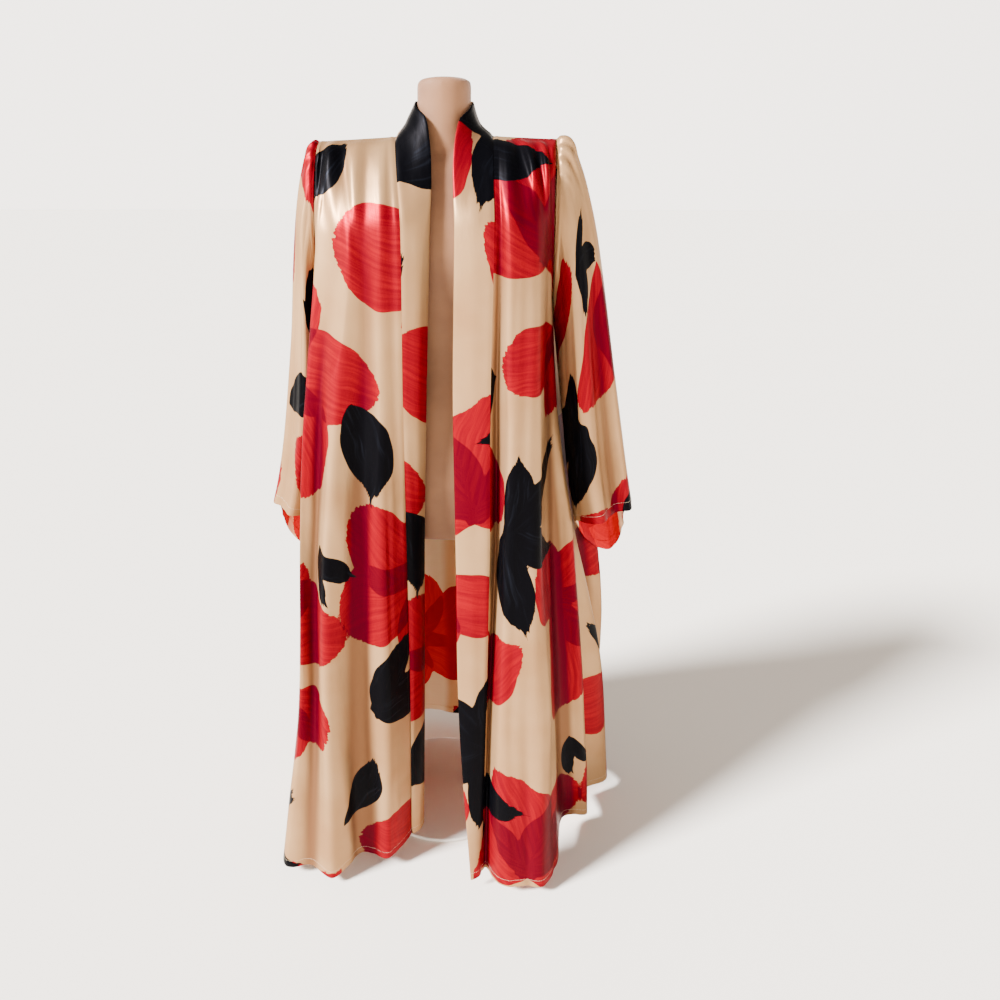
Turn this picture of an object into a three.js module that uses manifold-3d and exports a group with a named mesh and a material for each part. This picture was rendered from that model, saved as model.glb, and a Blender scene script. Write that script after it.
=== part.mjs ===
// A long kimono jacket of printed satin, open at the front, on a limbless dress form.
// Millimetres, +Z up, the front faces -Y and the wearer's left is +X.
// The origin is the middle of the stand's underside.
//
// Each panel is a cloth wall. Its folds are rows of a table: where the fold line starts on the
// shoulder seam and where it runs at the chest, the waist, the hip and the hem. A smooth curve
// down each fold line, and another across them at every height, give the cloth's surface.

import * as THREE from "three";
import Module from "manifold-3d";

const wasm = await Module();
wasm.setup();

// ---- driving sizes ----

const CLOTH = 1.5; // thickness of the cloth wall
const SEAM_GAP = 0.3; // between two pieces at a seam

const SHOULDER_HEIGHT = 1428; // shoulder seam at the neck
const SHOULDER_SLOPE = 0.05; // fall of the seam towards the sleeve
const SHOULDER_Y = 6; // the seam runs a little behind the middle
const NECK_POINT = 83; // half the width of the neckline at the shoulder
const CHEST_HEIGHT = 1280;
const WAIST_HEIGHT = 1000;
const HIP_HEIGHT = 720;
const KNEE_HEIGHT = 380;

// length of cloth from the shoulder seam down to each level
const RUN = { collarbone: 46, yoke: 104, chest: 188, waist: 468, hip: 750, knee: 1093, hem: 1446 };
const UNDERARM_RUN = 320;

const ARMHOLE = { height: 134, front: 62, back: 70 }; // half its height, then its half depths
const ARMHOLE_X = { left: 191, right: 218 }; // at the shoulder
const ARMHOLE_SPREAD = 5; // further out at the underarm

const ROWS_ABOVE_UNDERARM = 8;
const ROWS_BELOW_UNDERARM = 10;
const STEPS_PER_FOLD = 3;

// how far the cloth stands from the seam at the yoke and just below it, beside the neck, and
// how much nearer it lies at the sleeve
const YOKE = { height: 1362, front: 88, back: 100, narrows: 30, share: 0.55 };
const COLLARBONE = { drop: 16, front: 44, back: 56, narrows: 6, share: 0.2, lift: 0.6, least: 8 };
const NECK_TO_SLEEVE = 115;

// ---- the folds ----
// fold: a name, shoulder: x on the shoulder seam, lift: how far a shoulder pleat stands out at
// the yoke, then x and y at the chest, waist, hip and hem, and the hem's height there.

const FRONT_LEFT_FOLDS = table(
  "fold          shoulder lift  chestX chestY waistX waistY  hipX  hipY kneeX kneeY  hemX  hemY hemZ",
  "band seam        83      0     93   -126     94   -149    100  -184   102  -225   101  -266   30",
  "groove           91     -3    103   -121    106   -134    111  -161   108  -209   111  -256   32",
  "inner ridge     104      5    121   -131    130   -161    131  -201   129  -247   140  -288   24",
  "apron           122     -3    143   -121    155   -153    163  -198   172  -243   194  -287   22",
  "outer ridge     141      6    162   -112    180   -141    193  -186   215  -236   232  -282   23",
  "outer turn      158     -3    174    -98    187   -113    197  -150   233  -190   262  -222   28",
  "side groove     172      5    182    -83    196    -66    220   -88   250  -102   277  -112   38",
  "side ridge      184     -2    188    -70    211    -44    256   -84   300   -86   334   -86   30",
  "side seam       191      0    192    -62    210     -8    252   -26   288   -24   316   -24   38",
);

const FRONT_RIGHT_FOLDS = table(
  "fold          shoulder lift  chestX chestY waistX waistY  hipX  hipY kneeX kneeY  hemX  hemY hemZ",
  "band seam       -83      0    -61   -126    -60   -146    -56  -162   -53  -176   -54  -190   42",
  "soft edge       -93     -2    -78   -125    -76   -149    -72  -177   -71  -200   -74  -222   37",
  "soft ridge     -108      2    -98   -128    -98   -157    -97  -202   -96  -227   -98  -250   31",
  "long groove    -128     -5   -122   -121   -131   -147   -141  -188  -150  -214  -156  -240   31",
  "long ridge     -146      4   -146   -126   -171   -167   -196  -224  -204  -263  -203  -300   20",
  "rim groove     -166     -4   -172   -108   -209   -138   -224  -181  -238  -226  -254  -277   26",
  "rim            -186      3   -205    -93   -238   -135   -253  -194  -267  -236  -312  -278   23",
  "rim turn       -200     -2   -213    -82   -232   -100   -246  -140  -274  -172  -322  -206   28",
  "side groove    -210      2   -217    -72   -218    -60   -218   -76  -248   -92  -280  -110   38",
  "side seam      -218      0   -219    -62   -219     -8   -234   -20  -280   -24  -322   -30   36",
);

// the back runs from the left side seam round to the right one
const BACK_FOLDS = table(
  "fold          shoulder lift  chestX chestY waistX waistY  hipX  hipY kneeX kneeY  hemX  hemY hemZ",
  "side seam       191      0    192     70    210     -8    252   -26   288   -24   316   -24   38",
  "side ridge      182      0    188     78    216     40    262     24   350     24   394     34   30",
  "side groove     168      2    180     88    232     82    272     92   312     92   334    100   40",
  "outer ridge     150     -2    166    100    250    114    316    142   362    134   354    166   30",
  "outer groove    130      3    146    108    188    120    224    142   246    168   256    196   38",
  "shoulder fold   106     -2    120    114    138    138    160   186   182   230   200   270   28",
  "neck point       83      0     92    113    106    124    116   158   131   190   144   222   38",
  "blade ridge      54      0     62    116     70    136     76   182    84   226    88   268   30",
  "middle            0      0      8    115     14    124     16   158    14   199    16   238   36",
  "blade fold      -38      0    -46    116    -50    132    -56   176   -59   218   -62   258   30",
  "neck point      -83      0    -92    113   -104    122   -108   154  -119   190  -128   226   38",
  "shoulder fold  -110     -2   -122    113   -142    138   -158   186  -174   230  -190   274   28",
  "outer groove   -136      3   -150    106   -176    112   -196   132  -219   164  -240   196   38",
  "outer ridge    -164     -2   -180     98   -208     98   -244   116  -284   148  -322   182   30",
  "side groove    -190      2   -203     86   -220     58   -236    54  -280    76  -322    98   40",
  "side ridge     -208      0   -214     78   -220     30   -247    20  -314    34  -372    44   32",
  "side seam      -218      0   -219     70   -219     -8   -234   -20  -280   -24  -322   -30   36",
);

// the back neckline, from the shoulder to the centre back
const BACK_NECK = { depth: 78, rise: 6 };

// the band's free edge beside each level of its seam: x, y and z, and how far the band's
// middle bows in towards the neck
const BAND_LEFT_EDGE = table(
  "level          run     x     y     z  bow",
  "shoulder         0    49     1  1479    7",
  "neck side       22    45   -25  1466    6",
  "neck            46    29   -50  1447    5",
  "yoke           104    22   -82  1385    2",
  "chest          188    27  -119  1283   -4",
  "waist          468    28  -143  1000   -4",
  "hip            750    38  -188   720   -5",
  "knee          1093    50  -233   378   -5",
  "hem           1446    80  -284    25   -5",
);

const BAND_RIGHT_EDGE = table(
  "level          run     x     y     z  bow",
  "shoulder         0   -48     1  1481    3",
  "neck side       22   -44   -25  1469    3",
  "neck            46   -25   -49  1450    2",
  "yoke           104   -14   -80  1375    0",
  "chest          188   -15   -101  1283  -5",
  "waist          468   -21  -116  1000   -6",
  "hip            750   -26  -128   720   -6",
  "knee          1093   -28  -140   382   -6",
  "hem           1446   -31  -155    44   -6",
);

const BACK_BAND = { edgeY: 57, edgeZ: 1487, bow: 5 }; // at the centre back
const BAND_STEPS = 4; // across the band

// the cuff, once round from the outside to the front, the inside and the back
const CUFF_LEFT = table(
  "place             at     x     y     z",
  "outside            0   374    -8   774",
  "outer front       28   368   -56   768",
  "fold              52   342   -54   762",
  "front ridge       78   314   -96   756",
  "front            108   288   -88   750",
  "inner front      140   268   -58   742",
  "inside           176   272    -8   716",
  "inner back       212   292    44   664",
  "low back         244   330    94   616",
  "back             276   364   112   606",
  "outer back       308   376    80   652",
  "behind           336   372    32   728",
);

const CUFF_RIGHT = table(
  "place             at     x     y     z",
  "outside            0  -344   -20   764",
  "outer front       28  -338   -64   760",
  "fold              52  -318   -74   758",
  "front ridge       78  -298  -104   752",
  "front            108  -276   -92   748",
  "inner front      140  -262   -56   738",
  "inside           176  -264    -6   708",
  "inner back       212  -282    46   652",
  "low back         244  -312    94   600",
  "back             276  -342   110   594",
  "outer back       308  -358    76   642",
  "behind           336  -352    22   716",
);

// how strongly the sleeve's top runs out from the shoulder, and how much it leans at the cuff
const SLEEVE_FALL = { left: { out: 235, lean: 0.24 }, right: { out: 190, lean: 0.3 } };
// how strongly the underarm runs out and down, and both at the cuff for each mm of length
const UNDERARM_FALL = { out: 34, down: 150 };
const CUFF_PULL = 1.15;
// the sleeve's first row stands off the seam, at the shoulder and at the underarm
const SLEEVE_OFFSET = { top: 2 * SEAM_GAP, underarm: 9 * SEAM_GAP };
const ROW_CROWDING = 1.25; // above 1 the rows lie closer near the shoulder

// the pleats that gather each sleeve head into its seam, by their angle round the armhole
const HEAD_PLEATS = table(
  "pleat         at  width  depth",
  "back outer   -34     10      3",
  "back inner   -17     11      4",
  "top            2     10      3",
  "front first   17     11      5",
  "front second  31     10      4",
  "front third   45     11      3",
);
const PLEAT_FADE = 0.16; // share of the sleeve's length that a pleat runs down
const PLEAT_AT_SEAM = 0.35; // a pleat is held flatter where it is sewn

const SLEEVE_ROWS = 12;
const SLEEVE_HEAD = { from: -48, to: 60, step: 4.5 };
const SLEEVE_REST_STEPS = 15;

// the dress form, by height: half width, front, back, and how square its corners are
const TORSO_SECTIONS = table(
  "place            z  half  front  back  square",
  "underside      702   120    -78    82    2.2",
  "lower rim      708   148   -100   100    2.2",
  "thigh          740   160   -108   110    2.2",
  "hip            850   163   -108   112    2.2",
  "high hip       950   142    -94   100    2.2",
  "waist         1040   122    -82    86    2.2",
  "rib           1130   136    -88    90    2.2",
  "breast        1220   152    -94    98    2.3",
  "chest         1280   164    -87   100    2.4",
  "upper chest   1340   182    -72    90    2.6",
  "yoke          1378   190    -58    76    2.7",
  "shoulder      1403   190    -40    56    2.6",
  "shoulder top  1416   182    -23    36    2.4",
  "ridge         1421.3 164     -8    19    2.2",
  "ridge top     1423.7 138      0    12    2.0",
);
const NECK_SECTIONS = table(
  "place            z  half  front  back  square",
  "foot          1380    66    -48    62    2.0",
  "root          1412    56    -43    55    2.0",
  "slope         1426    50    -41    52    2.0",
  "lower neck    1446    47    -40    51    2.0",
  "middle        1480    46    -40    50    2.0",
  "upper neck    1508    46    -40    50    2.0",
  "top edge      1514    42    -36    46    2.0",
);
const FORM_SIDES = 30;

const POLE = { x: 82, y: 20, radius: 12.5, sides: 20 };
const BASE = { radius: 170, height: 8, bevel: 2, sides: 40 };

// ---- reading the tables ----

// a table is a line of column names and then a line for each row: a name of one or two words
// and its numbers
function table(heading, ...lines) {
  const columns = heading.trim().split(/\s+/);
  return lines.map((line) => {
    const words = line.trim().split(/\s+/);
    const numbers = words.slice(words.length - columns.length + 1).map(Number);
    const name = words.slice(0, words.length - columns.length + 1).join(" ");
    const row = { name };
    columns.slice(1).forEach((column, i) => {
      row[column] = numbers[i];
    });
    return row;
  });
}

// ---- curves ----

const point = (x, y, z) => new THREE.Vector3(x, y, z);
const mix = (a, b, share) => a + (b - a) * share;

// a smooth curve through points at uneven knots, with the slope of its neighbours at each
function curveThrough(knots, points, at) {
  const last = knots.length - 1;
  let i = 0;
  while (i < last - 1 && at > knots[i + 1]) i += 1;
  const span = knots[i + 1] - knots[i];
  const share = Math.min(Math.max((at - knots[i]) / span, 0), 1);
  const slope = (k) => {
    const before = Math.max(k - 1, 0);
    const after = Math.min(k + 1, last);
    return points[after].clone().sub(points[before]).divideScalar(knots[after] - knots[before]);
  };
  const s2 = share * share;
  const s3 = s2 * share;
  return points[i].clone().multiplyScalar(2 * s3 - 3 * s2 + 1)
    .addScaledVector(slope(i), (s3 - 2 * s2 + share) * span)
    .addScaledVector(points[i + 1], 3 * s2 - 2 * s3)
    .addScaledVector(slope(i + 1), (s3 - s2) * span);
}

// knots spaced by the root of the distance, which keeps a curve from looping
function rootKnots(points) {
  const knots = [0];
  for (let i = 1; i < points.length; i += 1) {
    knots.push(knots[i - 1] + Math.sqrt(Math.max(points[i].distanceTo(points[i - 1]), 1)));
  }
  return knots;
}

// ---- the shoulder, neckline and armhole ----

function shoulderSeam(x) {
  const out = Math.max(Math.abs(x) - NECK_POINT, 0);
  return point(x, SHOULDER_Y, SHOULDER_HEIGHT - SHOULDER_SLOPE * out);
}

function backNeckline(x) {
  const inward = Math.sqrt(Math.max(1 - (x / NECK_POINT) ** 2, 0));
  const seam = shoulderSeam(NECK_POINT);
  return point(x, SHOULDER_Y + BACK_NECK.depth * inward, seam.z + BACK_NECK.rise * inward);
}

// the top edge of a panel: the shoulder seam, and between the neck points the back neckline
function topEdge(x, facing) {
  const inNeck = facing > 0 && Math.abs(x) < NECK_POINT;
  return inNeck ? backNeckline(x) : shoulderSeam(x);
}

// turn is 0 at the shoulder, half a circle at the underarm; side is +1 left, -1 right and
// facing is -1 for the front half, +1 for the back
function armhole(side, facing, turn) {
  const width = side > 0 ? ARMHOLE_X.left : ARMHOLE_X.right;
  const depth = facing < 0 ? ARMHOLE.front : ARMHOLE.back;
  const x = side * (width + ARMHOLE_SPREAD * (1 - Math.cos(turn)) / 2);
  const top = shoulderSeam(width).z;
  const y = SHOULDER_Y * (1 + Math.cos(turn)) / 2 + facing * depth * Math.sin(turn);
  return point(x, y, top - ARMHOLE.height * (1 - Math.cos(turn)));
}

// ---- the panels ----

// the points that a fold line runs through, from the shoulder seam to the hem
function foldLine(fold, facing) {
  const x = fold.shoulder;
  const start = topEdge(x, facing);
  const outward = Math.max(Math.abs(x) - NECK_POINT, 0) / NECK_TO_SLEEVE;
  const depthOf = (level) => (facing < 0 ? level.front : level.back);
  const yokeDepth = depthOf(YOKE) - YOKE.narrows * outward ** 2 + fold.lift;
  const boneDepth = depthOf(COLLARBONE) - COLLARBONE.narrows * outward + fold.lift * COLLARBONE.lift;
  const boneX = mix(x, fold.chestX, COLLARBONE.share);
  const boneY = facing * Math.max(boneDepth, start.y * facing + COLLARBONE.least);
  return [
    start,
    point(boneX, boneY, start.z - COLLARBONE.drop),
    point(mix(x, fold.chestX, YOKE.share), facing * yokeDepth, YOKE.height),
    point(fold.chestX, fold.chestY, CHEST_HEIGHT),
    point(fold.waistX, fold.waistY, WAIST_HEIGHT),
    point(fold.hipX, fold.hipY, HIP_HEIGHT),
    point(fold.kneeX, fold.kneeY, KNEE_HEIGHT),
    point(fold.hemX, fold.hemY, fold.hemZ),
  ];
}

const LEVEL_RUNS = [0, ...Object.values(RUN)];

// the first step is halved, where the cloth rolls over the shoulder and round the neck
function rowRuns() {
  const runs = [0, UNDERARM_RUN / ROWS_ABOVE_UNDERARM / 2];
  for (let i = 1; i <= ROWS_ABOVE_UNDERARM; i += 1) {
    runs.push(UNDERARM_RUN * i / ROWS_ABOVE_UNDERARM);
  }
  for (let i = 1; i <= ROWS_BELOW_UNDERARM; i += 1) {
    runs.push(mix(UNDERARM_RUN, RUN.hem, i / ROWS_BELOW_UNDERARM));
  }
  return runs;
}

// a fold line's point at a length of cloth below the shoulder; a side seam follows the armhole
// down to the underarm
function foldPoint(fold, facing, run) {
  if (fold.name === "side seam") {
    const side = Math.sign(fold.shoulder);
    if (run <= UNDERARM_RUN) {
      return armhole(side, facing, Math.PI * run / UNDERARM_RUN);
    }
    const below = [
      armhole(side, facing, Math.PI),
      point(fold.waistX, fold.waistY, WAIST_HEIGHT),
      point(fold.hipX, fold.hipY, HIP_HEIGHT),
      point(fold.kneeX, fold.kneeY, KNEE_HEIGHT),
      point(fold.hemX, fold.hemY, fold.hemZ),
    ];
    return curveThrough([UNDERARM_RUN, RUN.waist, RUN.hip, RUN.knee, RUN.hem], below, run);
  }
  return curveThrough(LEVEL_RUNS, foldLine(fold, facing), run);
}

// rows of points down the panel, each row running across all of its folds
function panelGrid(folds, facing) {
  return rowRuns().map((run) => {
    const folded = folds.map((fold) => foldPoint(fold, facing, run));
    const knots = rootKnots(folded);
    const row = [];
    for (let i = 0; i + 1 < folded.length; i += 1) {
      for (let step = 0; step < STEPS_PER_FOLD; step += 1) {
        row.push(curveThrough(knots, folded, mix(knots[i], knots[i + 1], step / STEPS_PER_FOLD)));
      }
    }
    row.push(folded[folded.length - 1].clone());
    return run === 0 ? row.map((p) => topEdge(p.x, facing)) : row;
  });
}

// ---- the band ----

// straight across from the seam to the free edge: a row for each seam point, from the hem up
// to the shoulder and round to the centre back, then bowed square to itself
function bandGrid(seamUpFront, seamRoundNeck, edgeTable) {
  const knots = edgeTable.map((level) => level.run);
  const edges = edgeTable.map((level) => point(level.x, level.y, level.z));
  const bows = edgeTable.map((level) => point(level.bow, 0, 0));
  const runs = rowRuns().reverse();
  const shoulder = edges[0];
  const grid = [];
  const rowBows = [];
  seamUpFront.forEach((seam, i) => {
    grid.push(across(seam, curveThrough(knots, edges, runs[i])));
    rowBows.push(curveThrough(knots, bows, runs[i]).x);
  });
  seamRoundNeck.slice(1).forEach((seam, i, all) => {
    const share = (i + 1) / all.length;
    const turn = share * Math.PI / 2;
    const edge = point(
      shoulder.x * Math.cos(turn),
      mix(shoulder.y, BACK_BAND.edgeY, Math.sin(turn)),
      mix(shoulder.z, BACK_BAND.edgeZ, Math.sin(turn)),
    );
    grid.push(across(seam, edge));
    rowBows.push(mix(edgeTable[0].bow, BACK_BAND.bow, share));
  });
  const outward = gridNormals(grid, -Math.sign(shoulder.x), false);
  outward[grid.length - 1].forEach((normal) => normal.setX(0).normalize());
  return grid.map((row, r) => row.map((p, c) => {
    const bow = rowBows[r] * Math.sin(Math.PI * c / BAND_STEPS);
    return p.clone().addScaledVector(outward[r][c], -bow);
  }));
}

function across(seam, edge) {
  const row = [];
  for (let step = 0; step <= BAND_STEPS; step += 1) {
    row.push(seam.clone().lerp(edge, step / BAND_STEPS));
  }
  return row;
}

// ---- the sleeves ----

// the angles of the columns round a sleeve, in degrees, close together at the pleated head
function sleeveAngles() {
  const angles = [];
  const { from, to, step } = SLEEVE_HEAD;
  for (let at = from; at < to; at += step) angles.push(at);
  for (let i = 0; i < SLEEVE_REST_STEPS; i += 1) {
    angles.push(mix(to, from + 360, i / SLEEVE_REST_STEPS));
  }
  return angles;
}

function cuffPoint(cuff, angle) {
  const wrapped = [];
  for (let lap = -1; lap <= 1; lap += 1) {
    cuff.forEach((place) => wrapped.push({ ...place, at: place.at + 360 * lap }));
  }
  const knots = wrapped.map((place) => place.at);
  const points = wrapped.map((place) => point(place.x, place.y, place.z));
  return curveThrough(knots, points, angle);
}

function pleatRelief(angle) {
  return HEAD_PLEATS.reduce((sum, pleat) => {
    const away = (angle - pleat.at) / (pleat.width / 2);
    return sum + pleat.depth * Math.exp(-away * away);
  }, 0);
}

// a row for each step down the sleeve; a column leaves the armhole outwards and turns down
function sleeveGrid(side, cuff) {
  const angles = sleeveAngles();
  const fall = side > 0 ? SLEEVE_FALL.left : SLEEVE_FALL.right;
  const grid = [];
  for (let r = 0; r <= SLEEVE_ROWS; r += 1) {
    const share = (r / SLEEVE_ROWS) ** ROW_CROWDING;
    grid.push(angles.map((angle) => {
      const turn = angle * Math.PI / 180;
      const low = (1 - Math.cos(turn)) / 2;
      const facing = Math.sin(turn) > 0 ? -1 : 1;
      const away = Math.acos(Math.cos(turn));
      const start = armhole(side, facing, away);
      start.x += side * mix(SLEEVE_OFFSET.top, SLEEVE_OFFSET.underarm, Math.sqrt(low));
      const end = cuffPoint(cuff, angle);
      const length = start.distanceTo(end) * CUFF_PULL;
      const leave = point(side * mix(fall.out, UNDERARM_FALL.out, low), 0, -UNDERARM_FALL.down * low);
      const arrive = point(side * fall.lean * length, 0, -length);
      return hermite(start, leave, end, arrive, share);
    }));
  }
  const outward = gridNormals(grid, side, true);
  return grid.map((row, r) => {
    const share = (r / SLEEVE_ROWS) ** ROW_CROWDING;
    const fade = Math.exp(-((share / PLEAT_FADE) ** 2)) * (r === 0 ? PLEAT_AT_SEAM : 1);
    return row.map((p, c) => p.clone().addScaledVector(outward[r][c], fade * pleatRelief(angles[c])));
  });
}

function hermite(start, leave, end, arrive, share) {
  const s2 = share * share;
  const s3 = s2 * share;
  return start.clone().multiplyScalar(2 * s3 - 3 * s2 + 1)
    .addScaledVector(leave, s3 - 2 * s2 + share)
    .addScaledVector(end, 3 * s2 - 2 * s3)
    .addScaledVector(arrive, s3 - s2);
}

// ---- cloth walls ----

// the direction square to the surface at each point of a grid; sign turns it outwards
function gridNormals(grid, sign, closed) {
  const columns = grid[0].length;
  const normals = grid.map((row) => row.map(() => point(0, 0, 0)));
  const lastCell = closed ? columns : columns - 1;
  for (let r = 0; r + 1 < grid.length; r += 1) {
    for (let c = 0; c < lastCell; c += 1) {
      const next = (c + 1) % columns;
      const falling = grid[r + 1][next].clone().sub(grid[r][c]);
      const rising = grid[r][next].clone().sub(grid[r + 1][c]);
      const square = rising.cross(falling).multiplyScalar(sign);
      [[r, c], [r, next], [r + 1, c], [r + 1, next]].forEach(([i, j]) => normals[i][j].add(square));
    }
  }
  normals.forEach((row) => row.forEach((normal) => normal.normalize()));
  return normals;
}

// where two pieces share a seam point, both walls end square to the same direction
function shareNormals(pieces) {
  const met = new Map();
  const key = (p) => [p.x, p.y, p.z].map((n) => n.toFixed(2)).join(" ");
  const each = (visit) => pieces.forEach(({ grid, normals }) => {
    grid.forEach((row, r) => row.forEach((p, c) => visit(key(p), normals[r][c])));
  });
  each((at, normal) => met.set(at, (met.get(at) ?? point(0, 0, 0)).add(normal)));
  each((at, normal) => normal.copy(met.get(at)).normalize());
}

// moves the points of one edge of a grid into the piece, by half the gap of a seam
function trimEdge(grid, edge) {
  const last = { row: grid.length - 1, column: grid[0].length - 1 };
  const pull = (p, neighbour) => {
    const inward = neighbour.clone().sub(p).normalize();
    p.addScaledVector(inward, SEAM_GAP / 2);
  };
  if (edge === "top") grid[0].forEach((p, c) => pull(p, grid[1][c]));
  if (edge === "bottom") grid[last.row].forEach((p, c) => pull(p, grid[last.row - 1][c]));
  if (edge === "start") grid.forEach((row) => pull(row[0], row[1]));
  if (edge === "end") grid.forEach((row) => pull(row[last.column], row[last.column - 1]));
}

// a closed wall with its faces pointing out
function clothWall({ grid, normals, sign, closed }) {
  const rows = grid.length;
  const columns = grid[0].length;
  const positions = [];
  [CLOTH / 2, -CLOTH / 2].forEach((offset) => {
    grid.forEach((row, r) => row.forEach((p, c) => {
      const moved = p.clone().addScaledVector(normals[r][c], offset);
      positions.push(moved.x, moved.y, moved.z);
    }));
  });
  const outer = (r, c) => r * columns + (c % columns);
  const inner = (r, c) => rows * columns + outer(r, c);
  const faces = [];
  const quad = (a, b, c, d) => faces.push([a, b, c], [a, c, d]);
  const lastCell = closed ? columns : columns - 1;
  for (let c = 0; c < lastCell; c += 1) {
    for (let r = 0; r < rows - 1; r += 1) {
      // each cell is split along its shorter diagonal, on both faces of the wall alike
      const next = (c + 1) % columns;
      const falling = grid[r][c].distanceTo(grid[r + 1][next]);
      const rising = grid[r + 1][c].distanceTo(grid[r][next]);
      if (falling <= rising) {
        quad(outer(r, c), outer(r, c + 1), outer(r + 1, c + 1), outer(r + 1, c));
        quad(inner(r, c), inner(r + 1, c), inner(r + 1, c + 1), inner(r, c + 1));
      } else {
        quad(outer(r, c + 1), outer(r + 1, c + 1), outer(r + 1, c), outer(r, c));
        quad(inner(r, c + 1), inner(r, c), inner(r + 1, c), inner(r + 1, c + 1));
      }
    }
    quad(outer(0, c + 1), outer(0, c), inner(0, c), inner(0, c + 1));
    const r = rows - 1;
    quad(outer(r, c), outer(r, c + 1), inner(r, c + 1), inner(r, c));
  }
  for (let r = 0; !closed && r < rows - 1; r += 1) {
    const c = columns - 1;
    quad(outer(r, 0), outer(r + 1, 0), inner(r + 1, 0), inner(r, 0));
    quad(outer(r + 1, c), outer(r, c), inner(r, c), inner(r + 1, c));
  }
  const index = faces.flatMap(([a, b, c]) => (sign > 0 ? [a, b, c] : [a, c, b]));
  return solidGeometry(positions, index);
}

function solidGeometry(positions, index) {
  const geometry = new THREE.BufferGeometry();
  geometry.setAttribute("position", new THREE.Float32BufferAttribute(positions, 3));
  geometry.setIndex(index);
  geometry.computeVertexNormals();
  return geometry;
}

// ---- the dress form and its stand ----

function formRing(section) {
  const middle = (section.front + section.back) / 2;
  const depth = (section.back - section.front) / 2;
  const power = 2 / section.square;
  const ring = [];
  for (let i = 0; i < FORM_SIDES; i += 1) {
    const turn = 2 * Math.PI * i / FORM_SIDES;
    const x = section.half * Math.sign(Math.cos(turn)) * Math.abs(Math.cos(turn)) ** power;
    const y = middle + depth * Math.sign(Math.sin(turn)) * Math.abs(Math.sin(turn)) ** power;
    ring.push(point(x, y, section.z));
  }
  return ring;
}

// a closed body through a ring for each section, flat at both ends
function sectionBody(sections) {
  const rings = sections.map(formRing);
  const points = rings.flat();
  const last = sections.length - 1;
  const middleOf = (section) => point(0, (section.front + section.back) / 2, section.z);
  const bottom = points.push(middleOf(sections[0])) - 1;
  const top = points.push(middleOf(sections[last])) - 1;
  const index = [];
  for (let i = 0; i < FORM_SIDES; i += 1) {
    const next = (i + 1) % FORM_SIDES;
    index.push(bottom, next, i);
    index.push(top, last * FORM_SIDES + i, last * FORM_SIDES + next);
    for (let r = 0; r < last; r += 1) {
      const low = r * FORM_SIDES;
      const high = low + FORM_SIDES;
      index.push(low + i, low + next, high + next, low + i, high + next, high + i);
    }
  }
  const vertProperties = new Float32Array(points.flatMap((p) => [p.x, p.y, p.z]));
  const mesh = new wasm.Mesh({ numProp: 3, vertProperties, triVerts: new Uint32Array(index) });
  return new wasm.Manifold(mesh);
}

function formGeometry() {
  const mesh = sectionBody(TORSO_SECTIONS).add(sectionBody(NECK_SECTIONS)).getMesh();
  return solidGeometry(Array.from(mesh.vertProperties), Array.from(mesh.triVerts));
}

function poleGeometry() {
  const foot = BASE.height + SEAM_GAP;
  const length = TORSO_SECTIONS[0].z - SEAM_GAP - foot;
  const geometry = new THREE.CylinderGeometry(POLE.radius, POLE.radius, length, POLE.sides);
  geometry.rotateX(Math.PI / 2);
  geometry.translate(POLE.x, POLE.y, foot + length / 2);
  return geometry;
}

function baseGeometry() {
  const { radius, height, bevel } = BASE;
  const rim = [[0, 0], [radius, 0], [radius, height - bevel], [radius - bevel, height], [0, height]];
  const profile = rim.map(([r, z]) => new THREE.Vector2(r, z));
  const geometry = new THREE.LatheGeometry(profile, BASE.sides);
  geometry.rotateX(Math.PI / 2);
  return geometry;
}

// ---- cutting and putting together ----

function piece(grid, sign, closed = false) {
  return { grid, sign, closed, normals: gridNormals(grid, sign, closed) };
}

// at the shoulder seam the wall stands plumb, so that front and back meet face to face
function plumbShoulder({ normals }) {
  normals[0].forEach((normal) => normal.setY(0).normalize());
}

const left = piece(panelGrid(FRONT_LEFT_FOLDS, -1), -1);
const right = piece(panelGrid(FRONT_RIGHT_FOLDS, -1), 1);
const back = piece(panelGrid(BACK_FOLDS, 1), -1);
[left, right].forEach(plumbShoulder);

const neckStart = STEPS_PER_FOLD * BACK_FOLDS.findIndex((fold) => fold.name === "neck point");
const neckMiddle = STEPS_PER_FOLD * BACK_FOLDS.findIndex((fold) => fold.name === "middle");
const neckEnd = STEPS_PER_FOLD * BACK_FOLDS.findLastIndex((fold) => fold.name === "neck point");
back.normals[0].forEach((normal, c) => {
  if (c < neckStart || c > neckEnd) normal.setY(0).normalize();
});

const frontSeam = ({ grid }) => grid.map((row) => row[0]).reverse();
const backNeck = back.grid[0];
const bandLeft = piece(
  bandGrid(frontSeam(left), backNeck.slice(neckStart, neckMiddle + 1), BAND_LEFT_EDGE),
  -1,
);
const bandRight = piece(
  bandGrid(frontSeam(right), backNeck.slice(neckMiddle, neckEnd + 1).reverse(), BAND_RIGHT_EDGE),
  1,
);
shareNormals([left, right, back, bandLeft, bandRight]);

[left, right].forEach(({ grid }) => ["top", "start", "end"].forEach((edge) => trimEdge(grid, edge)));
["top", "start", "end"].forEach((edge) => trimEdge(back.grid, edge));
[bandLeft, bandRight].forEach(({ grid }) => ["start", "bottom"].forEach((edge) => trimEdge(grid, edge)));

const sleeveLeft = piece(sleeveGrid(1, CUFF_LEFT), 1, true);
const sleeveRight = piece(sleeveGrid(-1, CUFF_RIGHT), -1, true);

const SATIN = { color: 0xe9dcc2, roughness: 0.42, metalness: 0 };
const SATIN_BAND = { color: 0xb3131d, roughness: 0.42, metalness: 0 };
const FORM_SKIN = { color: 0xd9c3a2, roughness: 0.55, metalness: 0 };
const PAINTED_STEEL = { color: 0xf1efeb, roughness: 0.5, metalness: 0.1 };

const group = new THREE.Group();

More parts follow.
